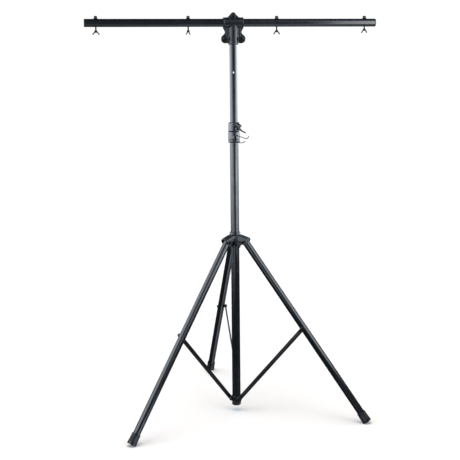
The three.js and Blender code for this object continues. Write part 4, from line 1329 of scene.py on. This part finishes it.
def ramp(value, stops):
    """Piecewise-linear function of a value, stops (value, level), levels 0..1."""
    lo, hi = stops[0][0], stops[-1][0]
    n = nt.nodes.new("ShaderNodeMapRange")
    n.inputs["From Min"].default_value = lo
    n.inputs["From Max"].default_value = hi
    k.link(value, n.inputs["Value"])
    c = nt.nodes.new("ShaderNodeValToRGB")
    k.link(n.outputs["Result"], c.inputs["Fac"])
    el = c.color_ramp.elements
    while len(el) > 1:
        el.remove(el[-1])
    for i, (v, g) in enumerate(stops):
        e = el[0] if i == 0 else el.new((v - lo) / (hi - lo))
        e.position = (v - lo) / (hi - lo)
        e.color = (g, g, g, 1)
    return c.outputs["Color"]


# how bright the walls are round the object at five heights of view
LEVEL = 8.0 / 0.885
wall_top = ramp(azim, [(-180, 0.012), (-150, 0.04), (-121, 0.22), (-95, 0.33), (-60, 0.36), (-42, 0.30), (-32, 0.15), (-12, 0.02),
                       (0, 0.015), (17, 0.02), (23, 0.30), (40, 0.42), (55, 0.40), (72, 0.18), (90, 0.09), (120, 0.06), (150, 0.02), (180, 0.012)])
wall_up = ramp(azim, [(-180, 0.012), (-165, 0.04), (-150, 0.18), (-125, 0.44), (-104, 0.56), (-67, 0.30), (-35, 0.05),
                      (-6, 0.015), (24, 0.02), (40, 0.12), (56, 0.34), (75, 0.62), (96, 0.90), (115, 0.72), (140, 0.32), (165, 0.04), (180, 0.012)])
wall_mid = ramp(azim, [(-180, 0.02), (-160, 0.04), (-139, 0.13), (-110, 0.40), (-85, 0.50), (-61, 0.52), (-33, 0.34), (-14, 0.05),
                       (-3, 0.012), (8, 0.04), (21, 0.24), (36, 0.60), (49, 0.86), (62, 0.62), (83, 0.25), (110, 0.16), (133, 0.10), (160, 0.04), (180, 0.02)])
wall_low = ramp(azim, [(-180, 0.01), (-139, 0.05), (-93, 0.11), (-61, 0.17), (-33, 0.25), (-16, 0.06), (-6, 0.035), (8, 0.015), (21, 0.03),
                       (34, 0.18), (49, 0.46), (62, 0.36), (83, 0.20), (110, 0.08), (133, 0.025), (180, 0.01)])
wall_foot = ramp(azim, [(-180, 0.01), (-139, 0.10), (-93, 0.12), (-75, 0.06), (-61, 0.03), (-33, 0.06), (-6, 0.03), (21, 0.004), (36, 0.02),
                        (49, 0.06), (83, 0.11), (110, 0.05), (133, 0.01), (180, 0.01)])
ground = ramp(azim, [(-180, 0.01), (-90, 0.006), (-30, 0.01), (-2, 0.06), (8, 0.035), (14, 0.06), (20, 0.12), (30, 0.20),
                     (60, 0.18), (100, 0.05), (140, 0.02), (180, 0.01)])


def blend_of(a, b, fac):
    return k.math("ADD", k.math("MULTIPLY", a, k.math("SUBTRACT", 1.0, fac)), k.math("MULTIPLY", b, fac))


light = blend_of(wall_foot, wall_low, k.remap(elev, -11.8, -9.7))
light = blend_of(light, wall_mid, k.remap(elev, -9.7, -6.2))
light = blend_of(light, wall_up, k.remap(elev, -5.5, -1.0))
light = blend_of(light, wall_top, k.remap(elev, 7.0, 19.0))
# the walls end above, and fade into a dark floor below that is paler again nearby
light = k.math("MULTIPLY", light, k.remap(elev, 62.0, 40.0, 0.04, 1.0))
light = blend_of(light, 0.007, k.remap(elev, -11.5, -15.5))
light = blend_of(light, ground, k.remap(elev, -18.0, -40.0))
env = nt.nodes.new("ShaderNodeBackground")
env.inputs["Color"].default_value = (0.80, 0.90, 1.0, 1)
nt.links.new(k.math("MULTIPLY", light, LEVEL), env.inputs["Strength"])
plain = nt.nodes.new("ShaderNodeBackground")
plain.inputs["Color"].default_value = (1, 1, 1, 1)
plain.inputs["Strength"].default_value = 1.02
path = nt.nodes.new("ShaderNodeLightPath")
pick = nt.nodes.new("ShaderNodeMixShader")
nt.links.new(path.outputs["Is Camera Ray"], pick.inputs[0])
nt.links.new(env.outputs[0], pick.inputs[1])
nt.links.new(plain.outputs[0], pick.inputs[2])
nt.links.new(pick.outputs[0], out.inputs["Surface"])
scene.view_settings.view_transform = "Standard"
